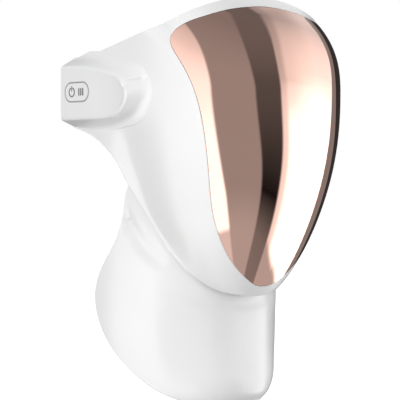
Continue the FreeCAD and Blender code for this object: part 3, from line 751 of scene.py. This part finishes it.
def outward_2d(curve):
    """Unit normals of an open outline that point away from its middle."""
    outward = right_of(curve)
    away = np.sum(outward * (curve - np.array([90.0, 12.0])), axis=1)
    return outward * np.sign(away)[:, None]


def pod_notch(rows):
    """Depth of the groove at the points of the pod's slope."""
    start, end = np.array(NOTCH)
    run = unit(end - start)
    offset = rows[..., 1:] - start
    along = offset @ run / np.linalg.norm(end - start)
    below = offset[..., 1] * run[0] - offset[..., 0] * run[1]
    reach = smoothstep(0.0, 0.35, along) * smoothstep(1.05, 0.6, along)
    step = 1.0 - (1.0 - np.clip(below / 2.5, 0.0, 1.0)) ** 2
    return NOTCH_DEPTH * reach * step * smoothstep(10.0, 2.5, below)


def pod_slope():
    """Rows from the pod's foot on the frame up its sides and over the edge of its face."""
    base = smooth(POD_BASE, POD_COLUMNS)
    face = smooth(POD_FACE, POD_COLUMNS)
    spread = 4.0 * smoothstep(ARM_END_Y, 96.0, base[:, 0]) + 3.0 * smoothstep(62.0, 38.0, base[:, 0])
    foot = base + outward_2d(base) * spread[:, None]
    inward = face - outward_2d(face) * POD_BEVEL
    inward[:, 0] = np.where(face[:, 0] > 115.0, face[:, 0], inward[:, 0])
    a = np.column_stack([on_frame(foot) - POD_SINK, foot])
    b = np.column_stack([on_frame(base), base])
    c = np.column_stack([pod_height(face[:, 0]), face])
    d = np.column_stack([pod_height(inward[:, 0]) - POD_EDGE_DROP, inward])
    d[:, 0] += POD_EDGE_DROP * smoothstep(100.0, 112.0, d[:, 1])
    low_turn = b + (c - b) * 0.35
    high_turn = c + (b - c) * 0.14
    rows = bezier(a, b, low_turn, 12)
    rows += [low_turn + (high_turn - low_turn) * i / 12 for i in range(12)]
    rows = np.array(rows + bezier(high_turn, c, d, 10) + [d])
    notch = pod_notch(rows)
    rows[:, :, 0] -= notch
    rows[:, :, 1] += notch
    return rows, a, d


def across_pod(edge, spans):
    """Grid from the upper half of an outline to the lower half."""
    half = POD_COLUMNS // 2
    top, bottom = edge[:half], edge[::-1][:half]
    return top[:, None] + (bottom - top)[:, None] * spans[None, :, None]


def pod_shell(side):
    """Raised pod with bevels all round, a scooped face and a flat rear end."""
    slope, foot, rim = pod_slope()
    spans = np.linspace(0.0, 1.0, 41)
    flat = across_pod(rim, spans)
    y = flat[:, 1:-1, 1]
    sunk = DISH_DEPTH * np.sin(math.pi * spans[1:-1]) ** 0.5 * smoothstep(88.0, 70.0, y)
    flat[:, 1:-1, 0] = pod_height(y) - POD_EDGE_DROP * smoothstep(112.0, 100.0, y) - sunk
    back = across_pod(foot, spans[::4])
    back[..., 0] = POD_BACK_X
    wall = np.array([foot, foot])
    wall[1, :, 0] = POD_BACK_X
    bm = bmesh.new()
    for grid in (slope, flat, back, wall):
        add_grid(bm, grid * np.array([side, 1.0, 1.0]))
    bmesh.ops.remove_doubles(bm, verts=bm.verts, dist=1e-3)
    fill_open_ends(bm)
    return finish_mesh("right_pod_shell" if side < 0 else "left_pod_shell", bm)


def pod_cutters(side):
    """Pocket of the electronics with the seats of its cover and end cap."""
    cutters = []
    for (x0, x1), (y0, y1), (z0, z1) in POD_POCKET:
        ring = [(side * x0, z0), (side * x1, z0), (side * x1, z1), (side * x0, z1)]
        cutters.append(cutter_along_y(ring, y0, y1))
    return cutters


def make_frame():
    shell = frame_shell()
    cutters = pod_cutters(-1) + pod_cutters(1)
    dress(cut(shell, cutters), WHITE, "white_shell", "root", "face_frame")
    for side in SIDES.values():
        cutters = pod_cutters(side)
        if side < 0:
            cutters.append(pill_piece("cutter", BUTTON_SEAT))
        dress(cut(pod_shell(side), cutters), WHITE, "white_shell", "root")


# ---- visor ----
VISOR_ROUNDING = 0.45


def edge_steps(count, length):
    """Shares from 0 to 1 with a few close steps at both ends, for a rounded edge."""
    close = np.array([0.0, 0.12, 0.25, 0.4, 0.6, 0.85, 1.2]) / length
    return np.concatenate([close, np.linspace(1.8 / length, 1.0 - 1.8 / length, count), 1.0 - close[::-1]])


def patch(bottom, top, left, right, s, t):
    """Grid blended between four edge curves that meet at their ends; s and t are its steps."""
    s, t = s[:, None, None], t[None, :, None]
    ruled_up = bottom[None] * (1 - s) + top[None] * s
    ruled_across = left[:, None] * (1 - t) + right[:, None] * t
    corners = (bottom[0] * (1 - s) * (1 - t) + bottom[-1] * (1 - s) * t
               + top[0] * s * (1 - t) + top[-1] * s * t)
    return ruled_up + ruled_across - corners


def visor_grid():
    """Grid in (u, z) that fills the visor's outline."""
    half = visor_outline(0.0)
    t = edge_steps(160, 150.0)
    s = edge_steps(200, 190.0)
    corner_high, corner_low = 0.245, 0.9
    whole = np.vstack([mirrored(half)[::-1], half[1:]])
    top = at_shares(whole, 0.5 + corner_high * (t - 0.5))
    bottom = at_shares(np.vstack([half, mirrored(half)[-2::-1]]), 0.5 + (1 - corner_low) * (0.5 - t))
    right = at_shares(half, corner_high + (corner_low - corner_high) * (1 - s))
    left = mirrored(right)
    return patch(bottom, top, left, right, s, t)


def make_visor():
    place = visor_grid()
    u, z = place[..., 0], place[..., 1]
    outside = FACE.surface(u, z)
    inside = FACE.surface(u, z, VISOR_WALL)
    bm = bmesh.new()
    short = np.clip(VISOR_ROUNDING - distance_to_edge(outside), 0.0, VISOR_ROUNDING)
    sink = VISOR_ROUNDING - np.sqrt(np.clip(VISOR_ROUNDING ** 2 - short ** 2, 0.0, None))
    outside = outside - normals(outside) * sink[..., None]
    add_grid(bm, outside)
    add_grid(bm, inside)
    add_grid(bm, np.array([border(outside), border(inside)]), closed_columns=True)
    dress(finish_mesh("front_visor_shell", bm), MIRROR, "visor_mirror", "root", "front_visor")


def border(grid):
    return np.vstack([grid[0], grid[1:, -1], grid[-1, -2::-1], grid[-2:0:-1, 0]])


def distance_to_edge(grid):
    """Distance of each point from the nearest of the grid's four sides, along the grid."""
    nearest = []
    for axis in (0, 1):
        steps = np.linalg.norm(np.diff(grid, axis=axis), axis=2)
        start = np.zeros_like(np.take(steps, [0], axis=axis))
        gone = np.concatenate([start, np.cumsum(steps, axis=axis)], axis=axis)
        nearest.append(np.minimum(gone, np.take(gone, [-1], axis=axis) - gone))
    return np.minimum(*nearest)


# ---- neck piece ----
def neck_edges():
    """Half outlines of the neck piece's upper and lower edge in (u, z)."""
    top = NECK.from_front(NECK_TOP_FRONT) + NECK.from_side(NECK_TOP_SIDE)
    low = NECK.from_front(NECK_LOW_FRONT) + NECK.from_side(NECK_LOW_SIDE)
    return smooth(top, 130, at_start=True), smooth(low, 130, at_start=True)


def grid_between(top, low, rows):
    """Grid across the middle plane between two half outlines of as many points."""
    top, low = [np.vstack([mirrored(half)[:0:-1], half]) for half in (top, low)]
    share = np.linspace(0.0, 1.0, rows)[:, None, None]
    return top[None] + (low - top)[None] * share


NECK_FOLD_Z = -141.0
NECK_FOLD_DEPTH = 1.3
NECK_HOLLOW_DEPTH = 2.8


def neck_relief(u, z):
    """Soft fold under the chin, a faint ridge beside it and a hollow below each hinge."""
    across = np.abs(u)
    middle = NECK_FOLD_Z + 0.0015 * np.clip(across, 0.0, 60.0) ** 2
    fold = NECK_FOLD_DEPTH * hump(z - middle, 5.0) * smoothstep(66.0, 34.0, across)
    beyond = 1.5 * np.logaddexp(0.0, (across - 30.0) / 1.5) * smoothstep(75.0, 45.0, across)
    hollow = NECK_HOLLOW_DEPTH * hump(across - 99.0 - 0.9 * (z + 81.0), 8.5)
    hollow = hollow * smoothstep(-118.0, -100.0, z) * smoothstep(-50.0, -80.0, z)
    hollow = hollow * smoothstep(107.0, 98.0, across)
    return -fold - hollow - 0.06 * beyond * smoothstep(NECK_FOLD_Z + 4.0, NECK_FOLD_Z - 16.0, z)


def wall_piece(name, outside, inside, roll):
    """Closed wall between two open grids, with rounded edges all round."""
    bm = bmesh.new()
    add_grid(bm, outside)
    add_grid(bm, inside)
    first, last = border(outside), border(inside)
    inner_out = np.vstack([outside[1], outside[1:, -2], outside[-2, -2::-1], outside[-2:0:-1, 1]])
    outward = first - inner_out
    lengths = np.linalg.norm(outward, axis=1, keepdims=True)
    outward = np.where(lengths > 1e-6, outward, first - outside[2, 2])
    rows = rim_rows(first, last, outward, np.full(len(first), roll), 8, 0.8)
    add_grid(bm, np.vstack([first[None], rows, last[None]]), closed_columns=True)
    return finish_mesh(name, bm)


def make_neck():
    place = grid_between(*neck_edges(), 110)
    u, z = place[..., 0], place[..., 1]
    plain = NECK.surface(u, z)
    lift = neck_relief(u, z)[..., None] * normals(plain)
    outside = plain + lift
    inside = NECK.surface(u, z, NECK_WALL) + lift
    piece = wall_piece("neck_outer_wall", outside, inside, 0.8)
    dress(piece, WHITE, "white_shell", "neck", "neck_outer_shell")
    for word, side in SIDES.items():
        start = (side * EAR_START, *HINGE)
        ear = turned_along_x(word + "_neck_ear", tube_profile(*EAR, 0.6), start, side)
        dress(ear, WHITE, "white_shell", "neck")


# ---- linings, seals and pads ----
APEX = (0.0, 60.0, -20.0)   # the crown's cut points here
SEAL_WIDTH = 2.5
LINING_LIFT = 1.6           # the lining ends this far above the foot of the neck piece


def face_region(inset):
    """Upper and lower half outlines of the inner shell in (u, z), from the middle to the side."""
    rim = [FACE.surface(*place) for place in FACE.from_front(CROWN_RIM) + [FACE.at_y(*KINK)]]
    top = [FACE.sunk(point, inset, APEX) for point in rim]
    low = [FACE.at_y(y, z, inset) for y, z in INNER_REAR]
    chin = FACE.at_y(face_front(-114.0) + inset + 0.01, -114.0, inset)
    middle = [(chin[0] * share, -114.0 - 0.6 * (1.0 - share)) for share in (0.35, 0.0)]
    return smooth(top, 110, at_start=True), smooth((low + middle)[::-1], 160, at_start=True)


def lining_region(inset):
    """The same for the lined part of the neck piece; the depth makes no difference to it."""
    top = NECK.from_front(NECK_TOP_FRONT) + NECK.from_side([(27, -97), (32, -86)])
    across = NECK.from_side([(y, LINING_TOP_Z) for y in (36.0, 48.0, 62.0, 75.0)])
    low = NECK.from_front(NECK_LOW_FRONT) + NECK.from_side(NECK_LOW_SIDE[:-2])
    low = [(u, z + LINING_LIFT) for u, z in low]
    top = np.vstack([smooth(top, 60, at_start=True), evenly(np.array(across), 50)])
    return evenly(top, 110), smooth(low, 160, at_start=True)


def layer(name, form, region, depths, roll):
    """Closed wall between two depths of a form over a region."""
    grids = []
    for inset in depths:
        top, low = region(inset)
        place = grid_between(evenly(top, 110), evenly(low, 110), 90)
        grids.append(form.surface(place[..., 0], place[..., 1], inset))
    return wall_piece(name, grids[0], grids[1], roll)


def band(name, form, region, depths, width):
    """Soft closed band along the edge of a region, from one depth to another."""
    rows = []
    count = 40
    for i in range(count):
        cosine, sine = squarish(2 * math.pi * i / count, 0.4)
        inset = (depths[0] + depths[1]) / 2 + cosine * (depths[1] - depths[0]) / 2
        top, low = region(inset)
        half = evenly(np.vstack([top, low[::-1]]), 420)
        inward = right_of(half)
        inward[0] = 0.0, -1.0
        inward[-1] = 0.0, 1.0
        loop = both_sides(half + inward * width * (1.0 - sine) / 2)
        rows.append(form.surface(loop[:, 0], loop[:, 1], inset))
    return grid_piece(name, np.array(rows), closed_rows=True, closed_columns=True)


def make_inner_shell():
    shell = layer("inner_shell_wall", FACE, face_region, INNER_SHELL, 0.9)
    openings = [((side * EYE_X, 0.0), EYE_HALF) for side in SIDES.values()]
    openings += [NOSE_OPENING, MOUTH_OPENING]
    cutters = [cutter_along_y(oval_points(middle, half, 96), -60.0, 22.0) for middle, half in openings]
    dress(cut(shell, cutters), MILKY, "inner_clear", "root", "inner_shell")
    seal = band("rim_seal_band", FACE, face_region, (WALL + 0.4, INNER_SHELL[0] - 0.1), SEAL_WIDTH)
    dress(seal, PALE_SILICONE, "silicone", "root", "rim_seal")


def make_neck_lining():
    lining = layer("neck_lining_wall", NECK, lining_region, NECK_LINING, 0.9)
    dress(lining, MILKY, "inner_clear", "neck", "neck_inner_shell")
    trim = band("neck_trim_band", NECK, lining_region, (NECK_WALL + 0.05, NECK_LINING[0] - 0.05), SEAL_WIDTH)
    dress(trim, PALE_SILICONE, "silicone", "neck", "neck_edge_trim")


def eye_ring(side):
    """Soft ring from the inner shell to the wearer's eye socket, with a rolled rear lip."""
    middle = (side * EYE_X, 0.0)
    sections = [(1.2, 0.0), (1.0, 0.3), (1.4, 0.75), (1.1, 0.93), (1.6, 1.0), (3.0, 1.04), (4.5, 1.0),
                (5.0, 0.93), (3.9, 0.78), (3.7, 0.4), (4.6, 0.12), (5.0, 0.0)]
    curve = smooth(sections, 44)
    rows = []
    for margin, share in curve:
        ring = oval_points(middle, (EYE_HALF[0] + margin, EYE_HALF[1] + margin), 120)
        places = [FACE.at_x(x, z, INNER_SHELL[1] + 0.3) for x, z in ring]
        start = np.array([FACE.surface(u, z, INNER_SHELL[1] + 0.3)[1] for u, z in places])
        y = start + (-6.4 - start) * share
        rows.append(np.stack([ring[:, 0], y, ring[:, 1]], axis=1))
    return rows


def make_eye_shield():
    rings = [eye_ring(side) for side in SIDES.values()]
    shield = grid_piece("eye_shield_rings", *rings, closed_rows=True, closed_columns=True, angle=60.0)
    dress(shield, PAD_SILICONE, "silicone", "root", "eye_shield")
    rows = []
    for share in np.linspace(-1.0, 1.0, 25):
        rise = 3.0 + 2.2 * (1.0 - share ** 2)
        thick = 2.6 + 1.2 * share ** 2
        ring = oval_points((0.0, 0.0), (thick, thick * 0.9), 32, 2.6)
        rows.append([(share * 10.0, -11.6 + a, rise + b) for a, b in ring])
    dress(capped_piece("eye_shield_bridge", np.array(rows)), PAD_SILICONE, "silicone", "root")


PAD = (42.0, 40.0, 60.0)        # half width, lowest and highest Z of the forehead pad
PAD_DEPTHS = (20.1, 27.0)


def face_sheet(x, z, depth):
    """Grid of points at the depths below the face's surface that show at X, Z from the front."""
    rows = zip(*np.broadcast_arrays(x, z, depth))
    return np.array([[FACE.surface(*FACE.at_x(a, b, d), d) for a, b, d in zip(*row)] for row in rows])


def make_forehead_pad():
    """Foam pad with a crowned face, pulled-in sides, two sewn channels and a piped edge."""
    s = np.linspace(-1.0, 1.0, 161)[None, :]
    t = np.linspace(-1.0, 1.0, 61)[:, None]
    pull = 1.0 - 0.035 * (1.0 - t ** 2) * np.abs(s) ** 8
    x = PAD[0] * s * pull * (1.0 - 0.02 * t ** 8)
    z = (PAD[1] + PAD[2]) / 2 + (PAD[2] - PAD[1]) / 2 * t * (1.0 - 0.03 * (1.0 - s ** 2) * np.abs(t) ** 8)
    crown = ((1.0 - np.abs(s) ** 9) * (1.0 - np.abs(t) ** 5)) ** 0.42
    channels = hump(np.abs(s) - 0.36, 0.022) * (1.0 - 0.35 * t ** 2)
    crown = crown * (0.95 + 0.05 * np.cos(4.2 * math.pi * s)) - 0.42 * channels * crown
    back_depth, face_depth = PAD_DEPTHS
    middle = back_depth + 1.7
    face = face_sheet(x, z, middle + (face_depth - middle) * crown)
    back = face_sheet(x, z, middle - 1.6 * np.clip(crown * 1.6, 0.0, 1.0))
    pad = grid_piece("forehead_pad_cushion", face, back, angle=75.0)
    dress(pad, PAD_FOAM, "foam", "root", "forehead_pad")
    piping = tube_along("forehead_pad_piping", border(face), 0.75)
    dress(piping, PAD_SILICONE, "foam", "root")


# ---- stage, light and camera ----
CAMERA_AZIMUTH = -42.0
CAMERA_ELEVATION = 1.5
CAMERA_DISTANCE = 1.0
CAMERA_TARGET = Vector((-0.0334, 0.0300, -0.0654))
CAMERA_LENS = 125.1
WORLD_LIGHT = 0.45
DOME_RADIUS = 6000.0
ROOM_RADIUS = 9000.0
FLOOR_RADIUS = 2500.0
FLOOR_GAP = 4.0             # the floor lies this far below the CAD model
LIGHTS = [                  # name, azimuth, elevation, distance, size, power
    ("key", -74.0, 6.0, 1.6, 0.7, 12.8),
    ("fill", 5.0, 0.0, 1.8, 1.0, 8.8),
    ("low", -80.0, -52.0, 1.8, 1.0, 6.5),
    ("right", 78.0, 5.0, 1.8, 1.0, 12.5),
    ("top", -30.0, 75.0, 1.6, 1.2, 5.0),
    ("rear", 175.0, 20.0, 1.8, 1.2, 10.0),
]
EDGE = 0.016                # half the softness of the reflected edges
BOX_END = 1.88              # slope where the large light box on the right ends
# Brightness of what the mirror shows, from left to right, at slopes upwards or, for the flag, at
# elevations in degrees.
LEFT_END_GLOW = 0.2
STRIP_GLOW = [(-0.1, 2.2), (0.0, 1.8), (0.2, 1.1), (0.45, 0.7)]
WALL_GLOW = [(0.1, 0.42), (0.45, 0.36), (1.0, 0.3)]
FLAG_GLOW = [(-55, 0.28), (-46, 0.24), (-38, 0.1), (-32, 0.012), (-20, 0.05), (0, 0.113), (25, 0.157),
             (60, 0.19)]
BOX_ENTRY_GLOW = [(-0.1, 1.3), (0.0, 1.15), (0.1, 0.8), (0.25, 0.74), (1.0, 0.6), (2.0, 0.4)]
BOX_MIDDLE_GLOW = [(-0.1, 2.4), (0.0, 1.6), (0.1, 1.15), (0.25, 1.15), (1.0, 0.95), (2.0, 0.55)]
BOX_FULL_GLOW = [(-0.1, 2.8), (0.0, 2.6), (0.1, 1.9), (0.25, 1.6), (1.0, 1.3), (2.0, 0.9)]
RIGHT_END_GLOW = (0.3, 0.04)
WALL_FLOOR_GLOW = 0.57      # the floor below the wall, the strip and the box
STRIP_FLOOR_GLOW = 0.92
BOX_FLOOR_GLOW = 0.6


def direction(azimuth, elevation):
    """Unit vectors away from the object; azimuth 0 is -Y and grows towards +X, in degrees."""
    a, e = np.radians(azimuth), np.radians(elevation)
    return np.stack([np.sin(a) * np.cos(e), -np.cos(a) * np.cos(e), np.sin(e)], axis=-1)


def aimed(name, data, azimuth, elevation, distance):
    """New object that looks at the part from a direction and a distance."""
    thing = new_object(name, data)
    away = Vector(direction(azimuth, elevation))
    thing.location = CAMERA_TARGET + away * distance
    thing.rotation_mode = "QUATERNION"
    thing.rotation_quaternion = (-away).to_track_quat("-Z", "Y")
    return thing


def hide_from(thing, *rays):
    for ray in rays:
        setattr(thing, "visible_" + ray, False)


def make_camera():
    data = bpy.data.cameras.new("camera")
    data.lens = CAMERA_LENS
    data.sensor_width = 36.0
    bpy.context.scene.camera = aimed("camera", data, CAMERA_AZIMUTH, CAMERA_ELEVATION, CAMERA_DISTANCE)


def area_light(name, azimuth, elevation, distance, size, power):
    data = bpy.data.lights.new(name, "AREA")
    data.shape = "DISK"
    data.size = size
    data.energy = power
    hide_from(aimed(name, data, azimuth, elevation, distance), "glossy")


def make_world():
    world = bpy.data.worlds.new("world")
    world.use_nodes = True
    values = {"Color": (1.0, 1.0, 1.0, 1.0), "Strength": WORLD_LIGHT}
    set_inputs(world.node_tree.nodes["Background"], values)
    bpy.context.scene.world = world


def studio_slopes(away):
    """Directions told by the slope of the surface that mirrors them: to the right, and upwards."""
    axis = direction(CAMERA_AZIMUTH, CAMERA_ELEVATION)
    right = direction(CAMERA_AZIMUTH + 90.0, 0.0)
    top = np.cross(axis, right)
    depth = 1.0 + away @ axis
    return away @ right / depth, away @ top / depth


def between(value, low, high, soft):
    return smoothstep(-soft, soft, value - low) * smoothstep(soft, -soft, value - high)


def blend(first, second, share):
    return first + (second - first) * share


def studio_glow(away):
    """Brightness of the studio in unit directions away from the object."""
    side, up = studio_slopes(away)
    elevation = np.degrees(np.arcsin(away[..., 2]))
    floor = smoothstep(-30.0, -50.0, elevation)
    sharp_floor = smoothstep(-46.5, -49.0, elevation)
    glow = blend(bands(up, WALL_GLOW), WALL_FLOOR_GLOW, floor)
    strip_edge = -0.28 + 0.031 * np.logaddexp(0.0, (0.06 - up) / 0.05)
    strip_light = blend(bands(up, STRIP_GLOW), STRIP_FLOOR_GLOW, sharp_floor)
    glow = blend(glow, strip_light, smoothstep(EDGE, -EDGE, side - strip_edge))
    glow = blend(glow, LEFT_END_GLOW, smoothstep(-0.75, -0.95, side))
    rise = 0.12 * np.logaddexp(0.0, (up - 0.45) / 0.12)
    flag_left = 0.29 - 0.12 * np.tanh((up + 0.12) / 0.2) + 0.22 * rise
    flag_right = 0.59 - 0.08 * np.tanh((up + 0.1) / 0.2) + 0.18 * rise
    glow = blend(glow, bands(elevation, FLAG_GLOW), between(side, flag_left, flag_right, EDGE))
    past = side - flag_right
    entry, middle, full = [bands(up, glows) for glows in (BOX_ENTRY_GLOW, BOX_MIDDLE_GLOW, BOX_FULL_GLOW)]
    box_light = blend(entry, middle, smoothstep(0.05, 0.14, past))
    box_light = blend(box_light, full, smoothstep(0.1, 0.6, past))
    box_floor = smoothstep(-0.03, 0.03, 1.1 * np.clip(-0.64 - up, 0.0, None) - past)
    box_light = blend(box_light, BOX_FLOOR_GLOW, box_floor)
    glow = blend(glow, box_light, between(side, flag_right, BOX_END, EDGE))
    far = smoothstep(-0.1, 0.1, side - 2.7 + 0.3 * np.tanh(up / 0.4))
    return blend(glow, blend(*RIGHT_END_GLOW, far), smoothstep(-EDGE, EDGE, side - BOX_END))


def glowing(name):
    """Material that only shines, and that light sampling leaves out."""
    material = bpy.data.materials.new(name)
    material.use_nodes = True
    nodes = material.node_tree.nodes
    nodes.clear()
    output = nodes.new("ShaderNodeOutputMaterial")
    emission = nodes.new("ShaderNodeEmission")
    join(material, emission.outputs["Emission"], output.inputs["Surface"])
    material.cycles.emission_sampling = "NONE"
    return material


def make_reflections():
    """Large dome that only glossy surfaces see, so that the mirror shows strips and flags."""
    away = direction(*np.meshgrid(np.linspace(-180.0, 180.0, 361), np.linspace(-88.0, 88.0, 177)))
    mesh = bpy.data.meshes.new("studio_dome")
    index = np.arange(away.shape[0] * away.shape[1]).reshape(away.shape[:2])
    faces = np.stack([index[:-1, :-1], index[:-1, 1:], index[1:, 1:], index[1:, :-1]], axis=-1)
    mesh.from_pydata((away * DOME_RADIUS * MM).reshape(-1, 3).tolist(), [], faces.reshape(-1, 4).tolist())
    glow = mesh.attributes.new("glow", "FLOAT", "POINT")
    glow.data.foreach_set("value", studio_glow(away).ravel().astype(np.float32))
    material = glowing("studio_dome")
    value = material.node_tree.nodes.new("ShaderNodeAttribute")
    value.attribute_name = "glow"
    join(material, value.outputs["Fac"], material.node_tree.nodes["Emission"].inputs["Strength"])
    mesh.materials.append(material)
    dome = new_object("studio_dome", mesh)
    hide_from(dome, "camera", "diffuse", "shadow", "transmission")


def make_backdrop():
    """White room that only the camera sees."""
    bm = bmesh.new()
    bmesh.ops.create_icosphere(bm, subdivisions=4, radius=ROOM_RADIUS)
    backdrop = finish_mesh("backdrop", bm)
    backdrop.data.materials.append(glowing("backdrop_white"))
    hide_from(backdrop, "diffuse", "glossy", "transmission", "shadow")


def make_floor():
    bm = bmesh.new()
    bmesh.ops.create_circle(bm, cap_ends=True, segments=96, radius=FLOOR_RADIUS)
    bmesh.ops.translate(bm, vec=(0.0, 0.0, cad_low.z / MM - FLOOR_GAP), verts=bm.verts)
    floor = finish_mesh("floor", bm)
    material = principled("pale_floor", (0.55, 0.55, 0.55), 0.8)
    set_inputs(shader_of(material), {"Emission Color": (1.0, 1.0, 1.0, 1.0), "Emission Strength": 0.8})
    material.cycles.emission_sampling = "NONE"
    floor.data.materials.append(material)
    hide_from(floor, "glossy", "diffuse")


def make_stage():
    make_camera()
    make_world()
    make_reflections()
    make_backdrop()
    make_floor()
    for light in LIGHTS:
        area_light(*light)
    bpy.context.scene.view_settings.view_transform = "Standard"


# ---- all pieces ----
make_stage()
make_frame()
make_visor()
make_neck()
make_inner_shell()
make_neck_lining()
make_eye_shield()
make_forehead_pad()
paint(["visor_gasket", "visor_carrier", "control_chip", "tact_switch", "battery_pad"], BLACK)
paint(["forehead_led_board", "right_cheek_led_board", "left_cheek_led_board", "chin_led_board",
       "neck_led_board"], WHITE_BOARD)
paint(["control_board", "charge_board"], GREEN_BOARD)
paint(["board_ribbons"], RIBBON)
paint(["face_leds", "neck_leds"], LED_BODY)
paint(["frame_screws", "pod_screws", "strap_bars", "usb_c_port", "right_hinge_pin", "left_hinge_pin"], STEEL)
paint(["battery_cell"], FOIL)
paint(["hinge_washers", "switch_plunger"], NYLON)
paint(["right_pod_cover", "left_pod_cover", "right_arm_end_cap", "left_arm_end_cap", "power_button"], WHITE)
paint(["button_bezel"], BEZEL)
paint(["power_icon", "level_bars"], PRINT)
paint(["nose_pad"], PAD_SILICONE)
